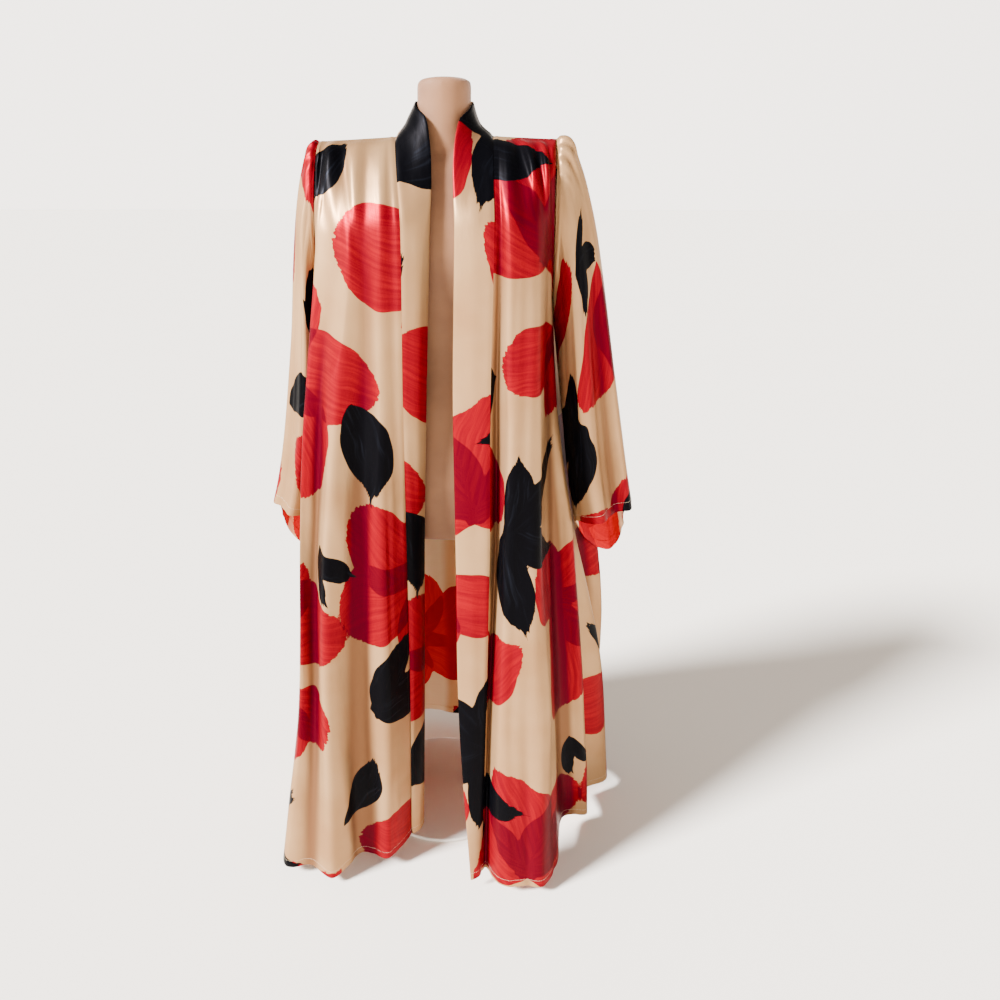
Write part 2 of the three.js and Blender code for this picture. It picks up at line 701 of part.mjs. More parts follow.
function add(name, geometry, finish) {
  const mesh = new THREE.Mesh(geometry, new THREE.MeshStandardMaterial(finish));
  mesh.name = name;
  group.add(mesh);
}

add("front_panel_left", clothWall(left), SATIN);
add("front_panel_right", clothWall(right), SATIN);
add("back_panel", clothWall(back), SATIN);
add("sleeve_left", clothWall(sleeveLeft), SATIN);
add("sleeve_right", clothWall(sleeveRight), SATIN);
add("neckband_left", clothWall(bandLeft), SATIN_BAND);
add("neckband_right", clothWall(bandRight), SATIN_BAND);
add("form_torso", formGeometry(), FORM_SKIN);
add("stand_pole", poleGeometry(), PAINTED_STEEL);
add("stand_base", baseGeometry(), PAINTED_STEEL);

export default group;
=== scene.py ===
import math

import bpy
import numpy as np
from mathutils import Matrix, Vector


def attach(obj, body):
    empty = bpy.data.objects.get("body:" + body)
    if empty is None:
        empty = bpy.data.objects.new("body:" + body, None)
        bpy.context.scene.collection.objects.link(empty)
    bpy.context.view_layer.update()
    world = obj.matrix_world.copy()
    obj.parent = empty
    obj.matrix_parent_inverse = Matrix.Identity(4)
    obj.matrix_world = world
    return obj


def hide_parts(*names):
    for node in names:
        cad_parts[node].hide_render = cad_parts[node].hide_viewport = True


# A long kimono jacket of printed satin, open at the front, on a limbless dress form.
# The tables and the sizes beside them are in millimetres of cloth or of height, as a cutter
# writes them, and every point that is built from them is in metres. +Z is up, the front faces
# -Y and the wearer's left is +X.

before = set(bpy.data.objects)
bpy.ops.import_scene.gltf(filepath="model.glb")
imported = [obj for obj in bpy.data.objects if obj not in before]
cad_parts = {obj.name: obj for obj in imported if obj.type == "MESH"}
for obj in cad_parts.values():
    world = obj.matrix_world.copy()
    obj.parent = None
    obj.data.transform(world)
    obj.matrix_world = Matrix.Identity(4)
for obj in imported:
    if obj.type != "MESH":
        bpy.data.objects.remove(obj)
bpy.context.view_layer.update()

MM = 0.001


def table(heading, *lines):
    """A table from a line of column names and a line for each row: its name, then its numbers."""
    columns = heading.split()[1:]
    rows = []
    for line in lines:
        words = line.split()
        numbers = [float(word) for word in words[-len(columns):]]
        rows.append({"name": " ".join(words[: -len(columns)]), **dict(zip(columns, numbers))})
    return rows


def column(rows, *names):
    """The named columns of a table as an array, one row for each line of the table."""
    values = np.array([[row[name] for name in names] for row in rows])
    return values[:, 0] if len(names) == 1 else values


def placed(name, data):
    """A new object in the scene, at the origin and unturned."""
    thing = bpy.data.objects.new(name, data)
    bpy.context.collection.objects.link(thing)
    return thing


def shaped(name, points, faces, edges=()):
    """A new object from plain lists of points, faces and edges."""
    mesh = bpy.data.meshes.new(name)
    mesh.from_pydata(points, edges, faces)
    return placed(name, mesh)


# ---- sizes of the cut ----

SATIN_THICK = 0.9 * MM
BAND_THICK = 2.6 * MM  # the band is folded double over its own seam allowances
SEAM_GAP = 0.1 * MM

SHOULDER_HEIGHT = 1428
SHOULDER_SLOPE = 0.05
SHOULDER_Y = 6
NECK_POINT = 83
YOKE = {"height": 1362, "front": 88, "back": 100, "narrows": 30, "share": 0.55}
COLLARBONE = {"drop": 16, "front": 44, "back": 56, "narrows": 6, "share": 0.2, "lift": 0.6, "least": 8}
NECK_TO_SLEEVE = 115

# how far down the cloth the shoulder, collarbone, yoke, chest, waist, hip, knee and hem lie
LEVEL_RUNS = np.array([0, 46, 104, 188, 468, 750, 1093, 1446])
CHEST_HEIGHT, WAIST_HEIGHT, HIP_HEIGHT, KNEE_HEIGHT = 1280, 1000, 720, 380
UNDERARM_RUN = 320
HEM_RUN = 1446

ARMHOLE = {"height": 134, "front": 62, "back": 70, "left": 191, "right": 218, "spread": 5}

HEM_TURNING = 16  # depth of the narrow turned hem
HEM_INSIDE = 1.3 * MM  # how much the turned layers add on the inside
STITCH_LINE = 15

# ---- the folds ----
# fold: a name, shoulder: x on the shoulder seam, lift: how far a shoulder pleat stands out at
# the yoke, then x and y at the chest, waist, hip, knee and hem, and the hem's height there

FRONT_LEFT_FOLDS = table(
    "fold        shoulder lift chestX chestY waistX waistY hipX hipY kneeX kneeY hemX hemY hemZ",
    "band seam         83    0     93   -126     94   -149  100 -184   102  -225  101 -266   30",
    "groove            91   -3    103   -121    106   -134  111 -161   108  -209  111 -256   32",
    "inner ridge      104    5    121   -131    130   -161  131 -201   129  -247  140 -288   24",
    "apron            122   -3    143   -121    155   -153  163 -198   172  -243  194 -287   22",
    "outer ridge      141    6    162   -112    180   -141  193 -186   215  -236  232 -282   23",
    "outer turn       158   -3    174    -98    187   -113  197 -150   233  -190  262 -222   28",
    "side groove      172    5    182    -83    196    -66  220  -88   250  -102  277 -112   38",
    "side ridge       184   -2    188    -70    211    -44  256  -84   300   -86  334  -86   30",
    "side seam        191    0    192    -62    210     -8  252  -26   288   -24  316  -24   38",
)

FRONT_RIGHT_FOLDS = table(
    "fold        shoulder lift chestX chestY waistX waistY hipX hipY kneeX kneeY hemX hemY hemZ",
    "band seam        -83    0    -61   -126    -60   -146  -56 -162   -53  -176  -54 -190   42",
    "soft edge        -93   -2    -78   -125    -76   -149  -72 -177   -71  -200  -74 -222   37",
    "soft ridge      -108    2    -98   -128    -98   -157  -97 -202   -96  -227  -98 -250   31",
    "long groove     -128   -5   -122   -121   -131   -147 -141 -188  -150  -214 -156 -240   31",
    "long ridge      -146    4   -146   -126   -171   -167 -196 -224  -204  -263 -203 -300   20",
    "rim groove      -166   -4   -172   -108   -209   -138 -224 -181  -238  -226 -254 -277   26",
    "rim             -186    3   -205    -93   -238   -135 -253 -194  -267  -236 -312 -278   23",
    "rim turn        -200   -2   -213    -82   -232   -100 -246 -140  -274  -172 -322 -206   28",
    "side groove     -210    2   -217    -72   -218    -60 -218  -76  -248   -92 -280 -110   38",
    "side seam       -218    0   -219    -62   -219     -8 -234  -20  -280   -24 -322  -30   36",
)

# the back runs from the left side seam round to the right one
BACK_FOLDS = table(
    "fold          shoulder lift chestX chestY waistX waistY hipX hipY kneeX kneeY hemX hemY hemZ",
    "side seam          191    0    192     70    210     -8  252  -26   288   -24  316  -24   38",
    "side ridge         182    0    188     78    216     40  262   24   350    24  394   34   30",
    "side groove        168    2    180     88    232     82  272   92   312    92  334  100   40",
    "outer ridge        150   -2    166    100    250    114  316  142   362   134  354  166   30",
    "outer groove       130    3    146    108    188    120  224  142   246   168  256  196   38",
    "shoulder fold      106   -2    120    114    138    138  160  186   182   230  200  270   28",
    "neck point          83    0     92    113    106    124  116  158   131   190  144  222   38",
    "blade ridge         54    0     62    116     70    136   76  182    84   226   88  268   30",
    "middle               0    0      8    115     14    124   16  158    14   199   16  238   36",
    "blade fold         -38    0    -46    116    -50    132  -56  176   -59   218  -62  258   30",
    "neck point         -83    0    -92    113   -104    122 -108  154  -119   190 -128  226   38",
    "shoulder fold     -110   -2   -122    113   -142    138 -158  186  -174   230 -190  274   28",
    "outer groove      -136    3   -150    106   -176    112 -196  132  -219   164 -240  196   38",
    "outer ridge       -164   -2   -180     98   -208     98 -244  116  -284   148 -322  182   30",
    "side groove       -190    2   -203     86   -220     58 -236   54  -280    76 -322   98   40",
    "side ridge        -208    0   -214     78   -220     30 -247   20  -314    34 -372   44   32",
    "side seam         -218    0   -219     70   -219     -8 -234  -20  -280   -24 -322  -30   36",
)

MIDDLE_FOLD = 8
BACK_NECK = {"depth": 78, "rise": 6}

# the band's free edge beside each level of its seam, and how far its middle bows to the neck
BAND_LEFT_EDGE = table(
    "level      run  x    y    z bow",
    "shoulder     0 49    1 1479   7",
    "neck side   22 45  -25 1466   6",
    "neck        46 29  -50 1447   5",
    "yoke       104 22  -82 1385   2",
    "chest      188 27 -119 1283  -4",
    "waist      468 28 -143 1000  -4",
    "hip        750 38 -188  720  -5",
    "knee      1093 50 -233  378  -5",
    "hem       1446 80 -284   25  -5",
)

BAND_RIGHT_EDGE = table(
    "level      run   x    y    z bow",
    "shoulder     0 -48    1 1481   3",
    "neck side   22 -44  -25 1469   3",
    "neck        46 -25  -49 1450   2",
    "yoke       104 -14  -80 1375   0",
    "chest      188 -15 -101 1283  -5",
    "waist      468 -21 -116 1000  -6",
    "hip        750 -26 -128  720  -6",
    "knee      1093 -28 -140  382  -6",
    "hem       1446 -31 -155   44  -6",
)

BACK_BAND = {"edge_y": 57, "edge_z": 1487, "bow": 5}

# the cuff, once round from the outside to the front, the inside and the back
CUFF_LEFT = table(
    "place        at   x   y   z",
    "outside       0 374  -8 774",
    "outer front  28 368 -56 768",
    "fold         52 342 -54 762",
    "front ridge  78 314 -96 756",
    "front       108 288 -88 750",
    "inner front 140 268 -58 742",
    "inside      176 272  -8 716",
    "inner back  212 292  44 664",
    "low back    244 330  94 616",
    "back        276 364 112 606",
    "outer back  308 376  80 652",
    "behind      336 372  32 728",
)

CUFF_RIGHT = table(
    "place        at    x    y   z",
    "outside       0 -344  -20 764",
    "outer front  28 -338  -64 760",
    "fold         52 -318  -74 758",
    "front ridge  78 -298 -104 752",
    "front       108 -276  -92 748",
    "inner front 140 -262  -56 738",
    "inside      176 -264   -6 708",
    "inner back  212 -282   46 652",
    "low back    244 -312   94 600",
    "back        276 -342  110 594",
    "outer back  308 -358   76 642",
    "behind      336 -352   22 716",
)

SLEEVE_FALL = {"left": {"out": 235, "lean": 0.24}, "right": {"out": 190, "lean": 0.3}}
UNDERARM_FALL = {"out": 34, "down": 150}
CUFF_PULL = 1.15
SLEEVE_OFFSET = {"top": 0.6, "underarm": 2.7}

# the pleats that gather each sleeve head into its seam, by their angle round the armhole
HEAD_PLEATS = table(
    "pleat         at width depth",
    "back outer   -34    10     4",
    "back inner   -17    11     5",
    "top            2    10     4",
    "front first   17    10     7",
    "front second  31    10     6",
    "front third   45    11   4.5",
)
PLEAT_FADE = 0.16
PLEAT_AT_SEAM = 0.15
PLEAT_SHARE = {"left": 1.0, "right": 0.55}
# the pleats hold the head squarely out, over its top more than in front and behind
HEAD_PUFF = {"left": 7, "right": 3, "at": 0.085, "length": 0.06, "narrows": 3}

# ---- creases ----
# A crease runs down the cloth from one place to another. Its places across are counted in folds
# of the piece's own table; on a sleeve they are degrees round the armhole and run is per mille
# of the way to the cuff. A positive height is a ridge and a negative one a trough.

FRONT_LEFT_CREASES = table(
    "crease         across0 run0 across1 run1 width height",
    "shoulder pull      2.6    4     4.2  170     8   -3.4",
    "shoulder ridge     3.3    6     4.9  150     7    2.8",
    "collar pull        0.9   20     1.7  240     7    2.4",
    "sleeve pull        6.1    4     7.1  140     6   -3.0",
    "sleeve ridge       5.2    6     6.4  185     7    2.8",
    "chest dimple       2.4  190     2.0  520     9   -3.0",
    "breast roll        3.6  220     3.2  680    10    2.8",
    "waist crease       1.6  360     1.5  800     7   -2.6",
    "apron ridge        3.4  560     3.6 1100    10    2.6",
    "apron trough       2.7  640     2.5 1180     9   -2.4",
    "thin ridge         4.5  700     4.4 1250     7    1.6",
    "low trough         3.2  930     3.1 1446     9   -2.4",
    "low roll           2.3 1000     2.4 1446     8    2.0",
    "side roll          5.6  520     5.5 1150     9    2.2",
    "side trough        6.6  640     6.5 1446    10   -2.0",
    "hem flute          4.6 1130     4.7 1446     9   -2.6",
    "hem flute two      1.5 1210     1.5 1446     7    1.4",
)

FRONT_RIGHT_CREASES = table(
    "crease         across0 run0 across1 run1 width height",
    "shoulder pull      5.6    4     3.1  260    12   -5.0",
    "shoulder ridge     6.4    6     4.6  240    10    3.4",
    "second pull        7.1    4     5.6  190     8   -3.2",
    "collar pull        1.2   16     1.9  300     8    2.4",
    "armhole pull       7.6    6     7.2  170     6   -2.6",
    "armhole ridge      6.9    8     6.3  220     7    2.4",
    "breast trough      2.5  210     2.4  600     9   -2.8",
    "flank roll         5.4  300     5.3  860    11    3.0",
    "belly ridge        3.5  400     3.5  960    10    2.8",
    "thin trough        1.6  480     1.5 1050     7   -2.6",
    "long roll          2.6  650     2.6 1330    10    1.9",
    "flank trough       4.6  760     4.7 1300     9   -2.2",
    "low ridge          5.5  900     5.5 1446    11    2.2",
    "low trough         1.5 1020     1.6 1446     8   -2.1",
    "rim roll           6.5  500     6.4 1100     8    1.6",
    "hem flute          3.5 1120     3.4 1446    10    2.6",
    "hem flute two      2.5 1230     2.5 1446     7   -1.6",
    "side roll          8.4  450     8.4 1200     8    1.8",
)

BACK_CREASES = table(
    "crease              across0 run0 across1 run1 width height",
    "left sleeve pull        1.4    6     2.2  210     7   -1.9",
    "left shoulder pull      3.6    4     4.2  240     9   -2.2",
    "left blade roll         4.5   20     4.6  360     9    1.8",
    "neck pull left          5.5    6     5.7  260     7    1.5",
    "nape left               7.2    4     7.1  210     7   -1.4",
    "nape right              9.0    4     9.1  240     8   -1.5",
    "neck pull right        10.5    6    10.3  290     7    1.5",
    "right blade roll       11.6   12    11.5  400    10    1.9",
    "right shoulder pull    12.6    4    12.1  270     9   -2.3",
    "right sleeve pull      14.6    6    13.8  220     7   -1.8",
    "loin trough left        6.5  330     6.4  760     9   -1.8",
    "loin ridge              7.6  300     7.7  820     9    1.7",
    "loin trough right       9.6  360     9.5  900     9   -1.9",
    "seat roll left          5.4  520     5.4 1120    10    2.3",
    "seat roll right        11.4  480    11.5 1150    11    2.4",
    "flank trough left       3.5  500     3.5 1080    10   -2.0",
    "flank trough right     12.5  560    12.6 1200    10   -2.4",
    "side roll left          1.5  560     1.5 1300     9    2.0",
    "side roll right        14.5  600    14.5 1446    10    2.1",
    "low trough left         4.5  900     4.5 1446    11   -2.5",
    "low ridge left          6.4  960     6.5 1446    10    2.2",
    "low trough middle       7.5 1040     7.4 1446    10   -2.3",
    "low ridge middle        8.5  940     8.6 1446     9    1.9",
    "low trough right       10.5 1010    10.4 1446    11   -2.6",
    "low ridge right        13.5  880    13.6 1446    11    2.4",
    "hem flute left          2.5 1160     2.5 1446     9    2.0",
    "hem flute right        15.4 1150    15.4 1446     9   -2.0",
)

SLEEVE_LEFT_CREASES = table(
    "crease         across0 run0 across1 run1 width height",
    "head fan one        24    8      18  210     5   -1.8",
    "head fan two        39    8      36  260     5   -1.7",
    "head fan three      55    8      52  190     6    1.4",
    "head fan back      -26    8     -30  240     6   -1.6",
    "top roll             8    8       4  320     6    1.4",
    "elbow sag           70  330      88  700    10   -2.8",
    "elbow roll          96  300     104  760     9    2.4",
    "front drape         40  380      47 1000    10    3.0",
    "front trough        62  470      66 1000     9   -3.4",
    "outer drape         14  420      16 1000     9   -2.4",
    "inner fold         128  350     134 1000    11   -2.8",
    "inner roll         152  420     156 1000     9    2.2",
    "back drape         250  300     246 1000    11    2.8",
    "back trough        282  360     286 1000    10   -3.0",
    "behind roll        -36  340     -38 1000    10    2.2",
    "under drape        210  380     208 1000    10   -2.4",
)

SLEEVE_RIGHT_CREASES = table(
    "crease        across0 run0 across1 run1 width height",
    "head fan one       22    8      15  240     5   -1.7",
    "head fan two       36    8      33  200     5   -1.6",
    "head fan back     -30    8     -36  260     6   -1.7",
    "top roll            4    8       0  300     6    1.3",
    "elbow sag          74  350      84  760    10   -2.6",
    "elbow roll        104  320     110  700     9    2.2",
    "front drape        52  400      56 1000     9    2.8",
    "front trough       30  450      34 1000     9   -3.0",
    "outer drape         8  500       6 1000     9    2.0",
    "inner fold        132  330     138 1000    11   -2.6",
    "back drape        248  340     252 1000    11    2.8",
    "back trough       292  320     290 1000    10   -2.8",
    "behind roll       -30  400     -34 1000    10    2.0",
    "under drape       206  360     210 1000    10   -2.2",
)

BAND_CREASES = table(
    "crease      across0 run0 across1 run1 width height",
    "neck roll       1.4   60     1.7  260    10   -1.2",
    "breast roll     2.2  330     1.6  700    12    1.3",
    "waist dent      1.2  640     1.9  980    10   -1.4",
    "knee roll       2.3  900     1.8 1300    12    1.2",
    "hem dent        1.1 1200     1.4 1500     9   -1.3",
)

# ---- the print ----
# One repeat of the cloth, in millimetres across and down it. Blossoms are brushed in crimson
# with so many petals, spread round over so many degrees; leaves are single black strokes that
# start at their stalk.

REPEAT = {"across": 870, "down": 1190}

BLOOMS = table(
    "bloom      across down size strokes turn spread full  tip",
    "open          165  225  232       5   14    288 0.32 0.60",
    "tall          590  340  270       4  -78    160 0.30 0.80",
    "fallen        665  470  181       3   95    130 0.34 0.70",
    "low open      225  825  246       5  118    300 0.31 0.65",
    "side          710 1015  237       4  -20    200 0.32 0.60",
    "bud           445 1150  200       3  -95     90 0.29 0.95",
    "lone petal    405  625  209       1   62      0 0.33 0.70",
)

SPRIGS = table(
    "sprig      across down size strokes turn spread full  tip",
    "broad         390  195  200       3   70    130 0.20 1.20",
    "pair           35  495  228       2  -28     56 0.20 1.30",
    "strokes       480  535  116       3  150    110 0.16 1.10",
    "hand          535  815  214       4  -10    160 0.19 1.35",
    "single         25 1095  186       1   78      0 0.22 1.20",
    "low pair      390 1025  186       2  100     66 0.21 1.30",
    "dashes        800  155  116       2   60     44 0.17 1.00",
    "far single    825  730  177       1  -60      0 0.21 1.25",
)

# where each piece was laid on the cloth
PRINT_PLACES = table(
    "piece        across down",
    "front left      470  110",
    "front right     120  600",
    "back            330  820",
    "sleeve left     250  420",
    "sleeve right    640  330",
    "band left       560  700",
    "band right       30  250",
)

# ---- curves ----


def smooth_step(x):
    x = np.clip(x, 0.0, 1.0)
    return x * x * (3 - 2 * x)


def hermite(start, leave, end, arrive, share):
    s2 = share * share
    s3 = s2 * share
    return (
        start * (2 * s3 - 3 * s2 + 1)
        + leave * (s3 - 2 * s2 + share)
        + end * (3 * s2 - 2 * s3)
        + arrive * (s3 - s2)
    )


def neighbours(count):
    """The places before and after each of so many, as far as there are any."""
    at = np.arange(count)
    return np.maximum(at - 1, 0), np.minimum(at + 1, count - 1)


def curve_through(knots, points, at):
    """Places on a smooth curve through points, which have one more axis than their knots."""
    knots = np.asarray(knots, float)
    points = np.asarray(points, float)
    i = np.clip(np.searchsorted(knots, at, side="left") - 1, 0, len(knots) - 2)
    before, after = neighbours(len(knots))
    slopes = (points[after] - points[before]) / (knots[after] - knots[before])[:, None]
    span = (knots[i + 1] - knots[i])[:, None]
    share = np.clip((np.asarray(at, float) - knots[i])[:, None] / span, 0, 1)
    return hermite(points[i], slopes[i] * span, points[i + 1], slopes[i + 1] * span, share)


def rows_through(points, spans, shares):
    """For every row of points, a smooth curve across them, sampled at a share of a span."""
    steps = np.linalg.norm(np.diff(points, axis=1), axis=2)
    gaps = np.sqrt(np.maximum(steps, 1.0))
    knots = np.concatenate([np.zeros((len(points), 1)), np.cumsum(gaps, axis=1)], axis=1)
    before, after = neighbours(points.shape[1])
    width = (knots[:, after] - knots[:, before])[:, :, None]
    slopes = (points[:, after] - points[:, before]) / width
    span = (knots[:, spans + 1] - knots[:, spans])[:, :, None]
    share = np.asarray(shares)[None, :, None]
    return hermite(
        points[:, spans], slopes[:, spans] * span, points[:, spans + 1], slopes[:, spans + 1] * span, share
    )


def distance_along(points, axis):
    """How far each point lies along its row or column of points, from the first one."""
    steps = np.linalg.norm(np.diff(points, axis=axis), axis=2)
    first = np.zeros_like(np.take(steps, [0], axis=axis))
    return np.concatenate([first, np.cumsum(steps, axis=axis)], axis=axis)


NOISE_CELLS = 64
LEAST_LENGTH = 1e-12  # a direction shorter than this is left as it is


def soft_noise(across, down, seed):
    """Smooth random relief from -1 to 1, with cells one unit wide."""
    values = np.random.default_rng(seed).uniform(-1, 1, (NOISE_CELLS, NOISE_CELLS))
    a, d = np.floor(across).astype(int), np.floor(down).astype(int)
    fa, fd = smooth_step(across - a), smooth_step(down - d)

    def corner(i, j):
        return values[(a + i) % NOISE_CELLS, (d + j) % NOISE_CELLS]

    near = corner(0, 0) * (1 - fa) + corner(1, 0) * fa
    far = corner(0, 1) * (1 - fa) + corner(1, 1) * fa
    return near * (1 - fd) + far * fd


def outward_normals(grid, sign, closed):
    """The direction square to the surface at each point of a grid; sign turns it outwards."""
    if closed:
        along = np.roll(grid, -1, axis=1) - np.roll(grid, 1, axis=1)
    else:
        along = np.gradient(grid, axis=1)
    down = np.gradient(grid, axis=0)
    normals = np.cross(along, down) * sign
    return normals / np.maximum(np.linalg.norm(normals, axis=2, keepdims=True), LEAST_LENGTH)


# ---- the shoulder, neckline and armhole ----


def hand(side):
    """The wearer's side as a word, from the sign of its x."""
    return "left" if side > 0 else "right"


def shoulder_seam(x):
    out = np.maximum(np.abs(x) - NECK_POINT, 0)
    return np.stack([x, np.full_like(x, SHOULDER_Y), SHOULDER_HEIGHT - SHOULDER_SLOPE * out], axis=-1)


def back_neckline(x):
    inward = np.sqrt(np.maximum(1 - (x / NECK_POINT) ** 2, 0))
    y = SHOULDER_Y + BACK_NECK["depth"] * inward
    return np.stack([x, y, SHOULDER_HEIGHT + BACK_NECK["rise"] * inward], axis=-1)


def top_edge(x, facing):
    """The shoulder seam, and on the back the neckline between the neck points."""
    x = np.asarray(x, float)
    if facing < 0:
        return shoulder_seam(x)
    return np.where((np.abs(x) < NECK_POINT)[..., None], back_neckline(x), shoulder_seam(x))


def armhole(side, facing, turn):
    """turn is 0 at the shoulder and half a circle at the underarm; facing is -1 in front."""
    width = ARMHOLE[hand(side)]
    depth = np.where(np.asarray(facing) < 0, ARMHOLE["front"], ARMHOLE["back"])
    top = SHOULDER_HEIGHT - SHOULDER_SLOPE * (width - NECK_POINT)
    x = side * (width + ARMHOLE["spread"] * (1 - np.cos(turn)) / 2)
    y = SHOULDER_Y * (1 + np.cos(turn)) / 2 + facing * depth * np.sin(turn)
    return np.stack([x, y, top - ARMHOLE["height"] * (1 - np.cos(turn))], axis=-1)


# ---- the panels ----

# places along a piece's length, in millimetres of cloth: close together at the shoulder seam
# and at the turned hem, about six millimetres apart between
SHOULDER_ROWS = [0, 1.2, 3, 6, 10]
HEM_ROWS = [HEM_TURNING + 0.8, HEM_TURNING, STITCH_LINE, STITCH_LINE - 1.2, 10, 5.5, 1.5, 0]
STITCH_ROW = HEM_ROWS[::-1].index(STITCH_LINE)  # its row, counted up from the hem
PANEL_ROWS = 226
PANEL_STEPS = 11  # columns from one fold to the next


def panel_runs():
    middle = np.linspace(SHOULDER_ROWS[-1], HEM_RUN - HEM_ROWS[0], PANEL_ROWS)
    return np.concatenate([SHOULDER_ROWS[:-1], middle, [HEM_RUN - above for above in HEM_ROWS[1:]]])


# places across one span of folds, crowded beside a seam
SEAM_SHARES = [0.0, 0.07, 0.16, 0.28, 0.42, 0.56, 0.7, 0.85]


def panel_columns(folds):
    spans, shares = [], []
    last = len(folds) - 2
    for span in range(len(folds) - 1):
        if span == 0:
            inside = SEAM_SHARES
        elif span == last:
            inside = [0.0] + [1 - share for share in reversed(SEAM_SHARES[1:])]
        else:
            inside = [step / PANEL_STEPS for step in range(PANEL_STEPS)]
        spans += [span] * len(inside)
        shares += inside
    return np.array(spans + [last]), np.array(shares + [1.0])


def fold_places(fold, facing):
    """The points that a fold line runs through, from the shoulder seam to the hem."""
    x = fold["shoulder"]
    start = top_edge(x, facing)
    side = "front" if facing < 0 else "back"
    outward = max(abs(x) - NECK_POINT, 0) / NECK_TO_SLEEVE
    yoke_depth = YOKE[side] - YOKE["narrows"] * outward**2 + fold["lift"]
    bone_depth = COLLARBONE[side] - COLLARBONE["narrows"] * outward + fold["lift"] * COLLARBONE["lift"]
    bone_x = x + (fold["chestX"] - x) * COLLARBONE["share"]
    bone_y = facing * max(bone_depth, start[1] * facing + COLLARBONE["least"])
    return np.array([
        start,
        [bone_x, bone_y, start[2] - COLLARBONE["drop"]],
        [x + (fold["chestX"] - x) * YOKE["share"], facing * yoke_depth, YOKE["height"]],
        [fold["chestX"], fold["chestY"], CHEST_HEIGHT],
        [fold["waistX"], fold["waistY"], WAIST_HEIGHT],
        [fold["hipX"], fold["hipY"], HIP_HEIGHT],
        [fold["kneeX"], fold["kneeY"], KNEE_HEIGHT],
        [fold["hemX"], fold["hemY"], fold["hemZ"]],
    ])


def fold_curve(fold, facing, runs):
    """The fold line at each length of cloth; a side seam follows the armhole to the underarm."""
    places = fold_places(fold, facing)
    if fold["name"] != "side seam":
        return curve_through(LEVEL_RUNS, places, runs)
    side = np.sign(fold["shoulder"])
    seam = armhole(side, facing, np.pi * np.minimum(runs, UNDERARM_RUN) / UNDERARM_RUN)
    underarm = armhole(side, facing, np.array([np.pi]))
    below = curve_through([UNDERARM_RUN, *LEVEL_RUNS[4:]], np.concatenate([underarm, places[4:]]), runs)
    return np.where((runs > UNDERARM_RUN)[:, None], below, seam)


TOP_EASE = 40  # the shoulder seam's own line fades into the folds over this run


def panel_surface(folds, facing):
    """The panel's middle surface, with its places across and down as shares and runs."""
    runs = panel_runs()
    spans, shares = panel_columns(folds)
    places = np.stack([fold_curve(fold, facing, runs) for fold in folds], axis=1)
    grid = rows_through(places, spans, shares)
    seam = top_edge(grid[0, :, 0], facing)
    fade = 1 - smooth_step(runs / TOP_EASE)
    grid = grid + (seam - grid[0])[None] * fade[:, None, None]
    return grid * MM, spans + shares, runs


# ---- relief of the cloth ----


CREASE_FULLNESS = 0.8  # a lower one keeps a crease high nearer to its ends


def crease_relief(creases, across, down, width_per_across):
    """The height of all creases at each point, from its places across and down the piece."""
    relief = np.zeros(across.shape)
    for crease in creases:
        length = crease["run1"] - crease["run0"]
        share = np.clip((down - crease["run0"]) / length, 0, 1)
        arch = np.pi / 2 if crease["run1"] >= down.max() else np.pi  # at the hem it stays open
        taper = np.sin(arch * share) ** CREASE_FULLNESS
        centre = crease["across0"] + (crease["across1"] - crease["across0"]) * share
        away = (across - centre) * width_per_across / crease["width"]
        relief += crease["height"] * taper * np.exp(-away * away)
    return relief * MM


DRAPE = {"across": 36, "down": 320, "height": 2.1}  # broad unevenness of hanging satin
RIPPLE = {"across": 16, "down": 110, "height": 0.55}
PUCKER = {"across": 26, "height": 0.55}  # waves that the hem's stitching draws up
PUCKER_OVER = 2 * HEM_TURNING  # how far above the hem they die out


def drape_relief(across, down, seed):
    """Slow and fast unevenness, from places across and down in millimetres of cloth."""
    slow = soft_noise(across / DRAPE["across"], down / DRAPE["down"], seed)
    fast = soft_noise(across / RIPPLE["across"], down / RIPPLE["down"], seed + 1)
    return (slow * DRAPE["height"] + fast * RIPPLE["height"]) * MM


def hem_pucker(across, above_hem, seed):
    waves = soft_noise(across / PUCKER["across"], np.zeros_like(across), seed + 2)
    return waves * PUCKER["height"] * MM * (1 - smooth_step(above_hem / PUCKER_OVER))


SEAM_DIP = {"width": 3.0, "depth": 1.2, "ridge_at": 7.5, "ridge_width": 3.5, "ridge": 0.5}


def seam_relief(away):
    """A pressed seam dips at the join and stands up a little over its allowance beside it."""
    dip = -SEAM_DIP["depth"] * np.exp(-((away / SEAM_DIP["width"]) ** 2))
    beside = (away - SEAM_DIP["ridge_at"]) / SEAM_DIP["ridge_width"]
    return (dip + SEAM_DIP["ridge"] * np.exp(-beside * beside)) * MM


EDGE_EASE = 22  # loose relief fades out over this distance from a seam, in mm

# ---- the print, worked out at each point of the cloth ----


def wrapped(distance, repeat):
    return (distance + repeat / 2) % repeat - repeat / 2


STROKE_SPREAD = {"turn": 8, "length": 0.14, "width": 0.12, "bend": 0.12}


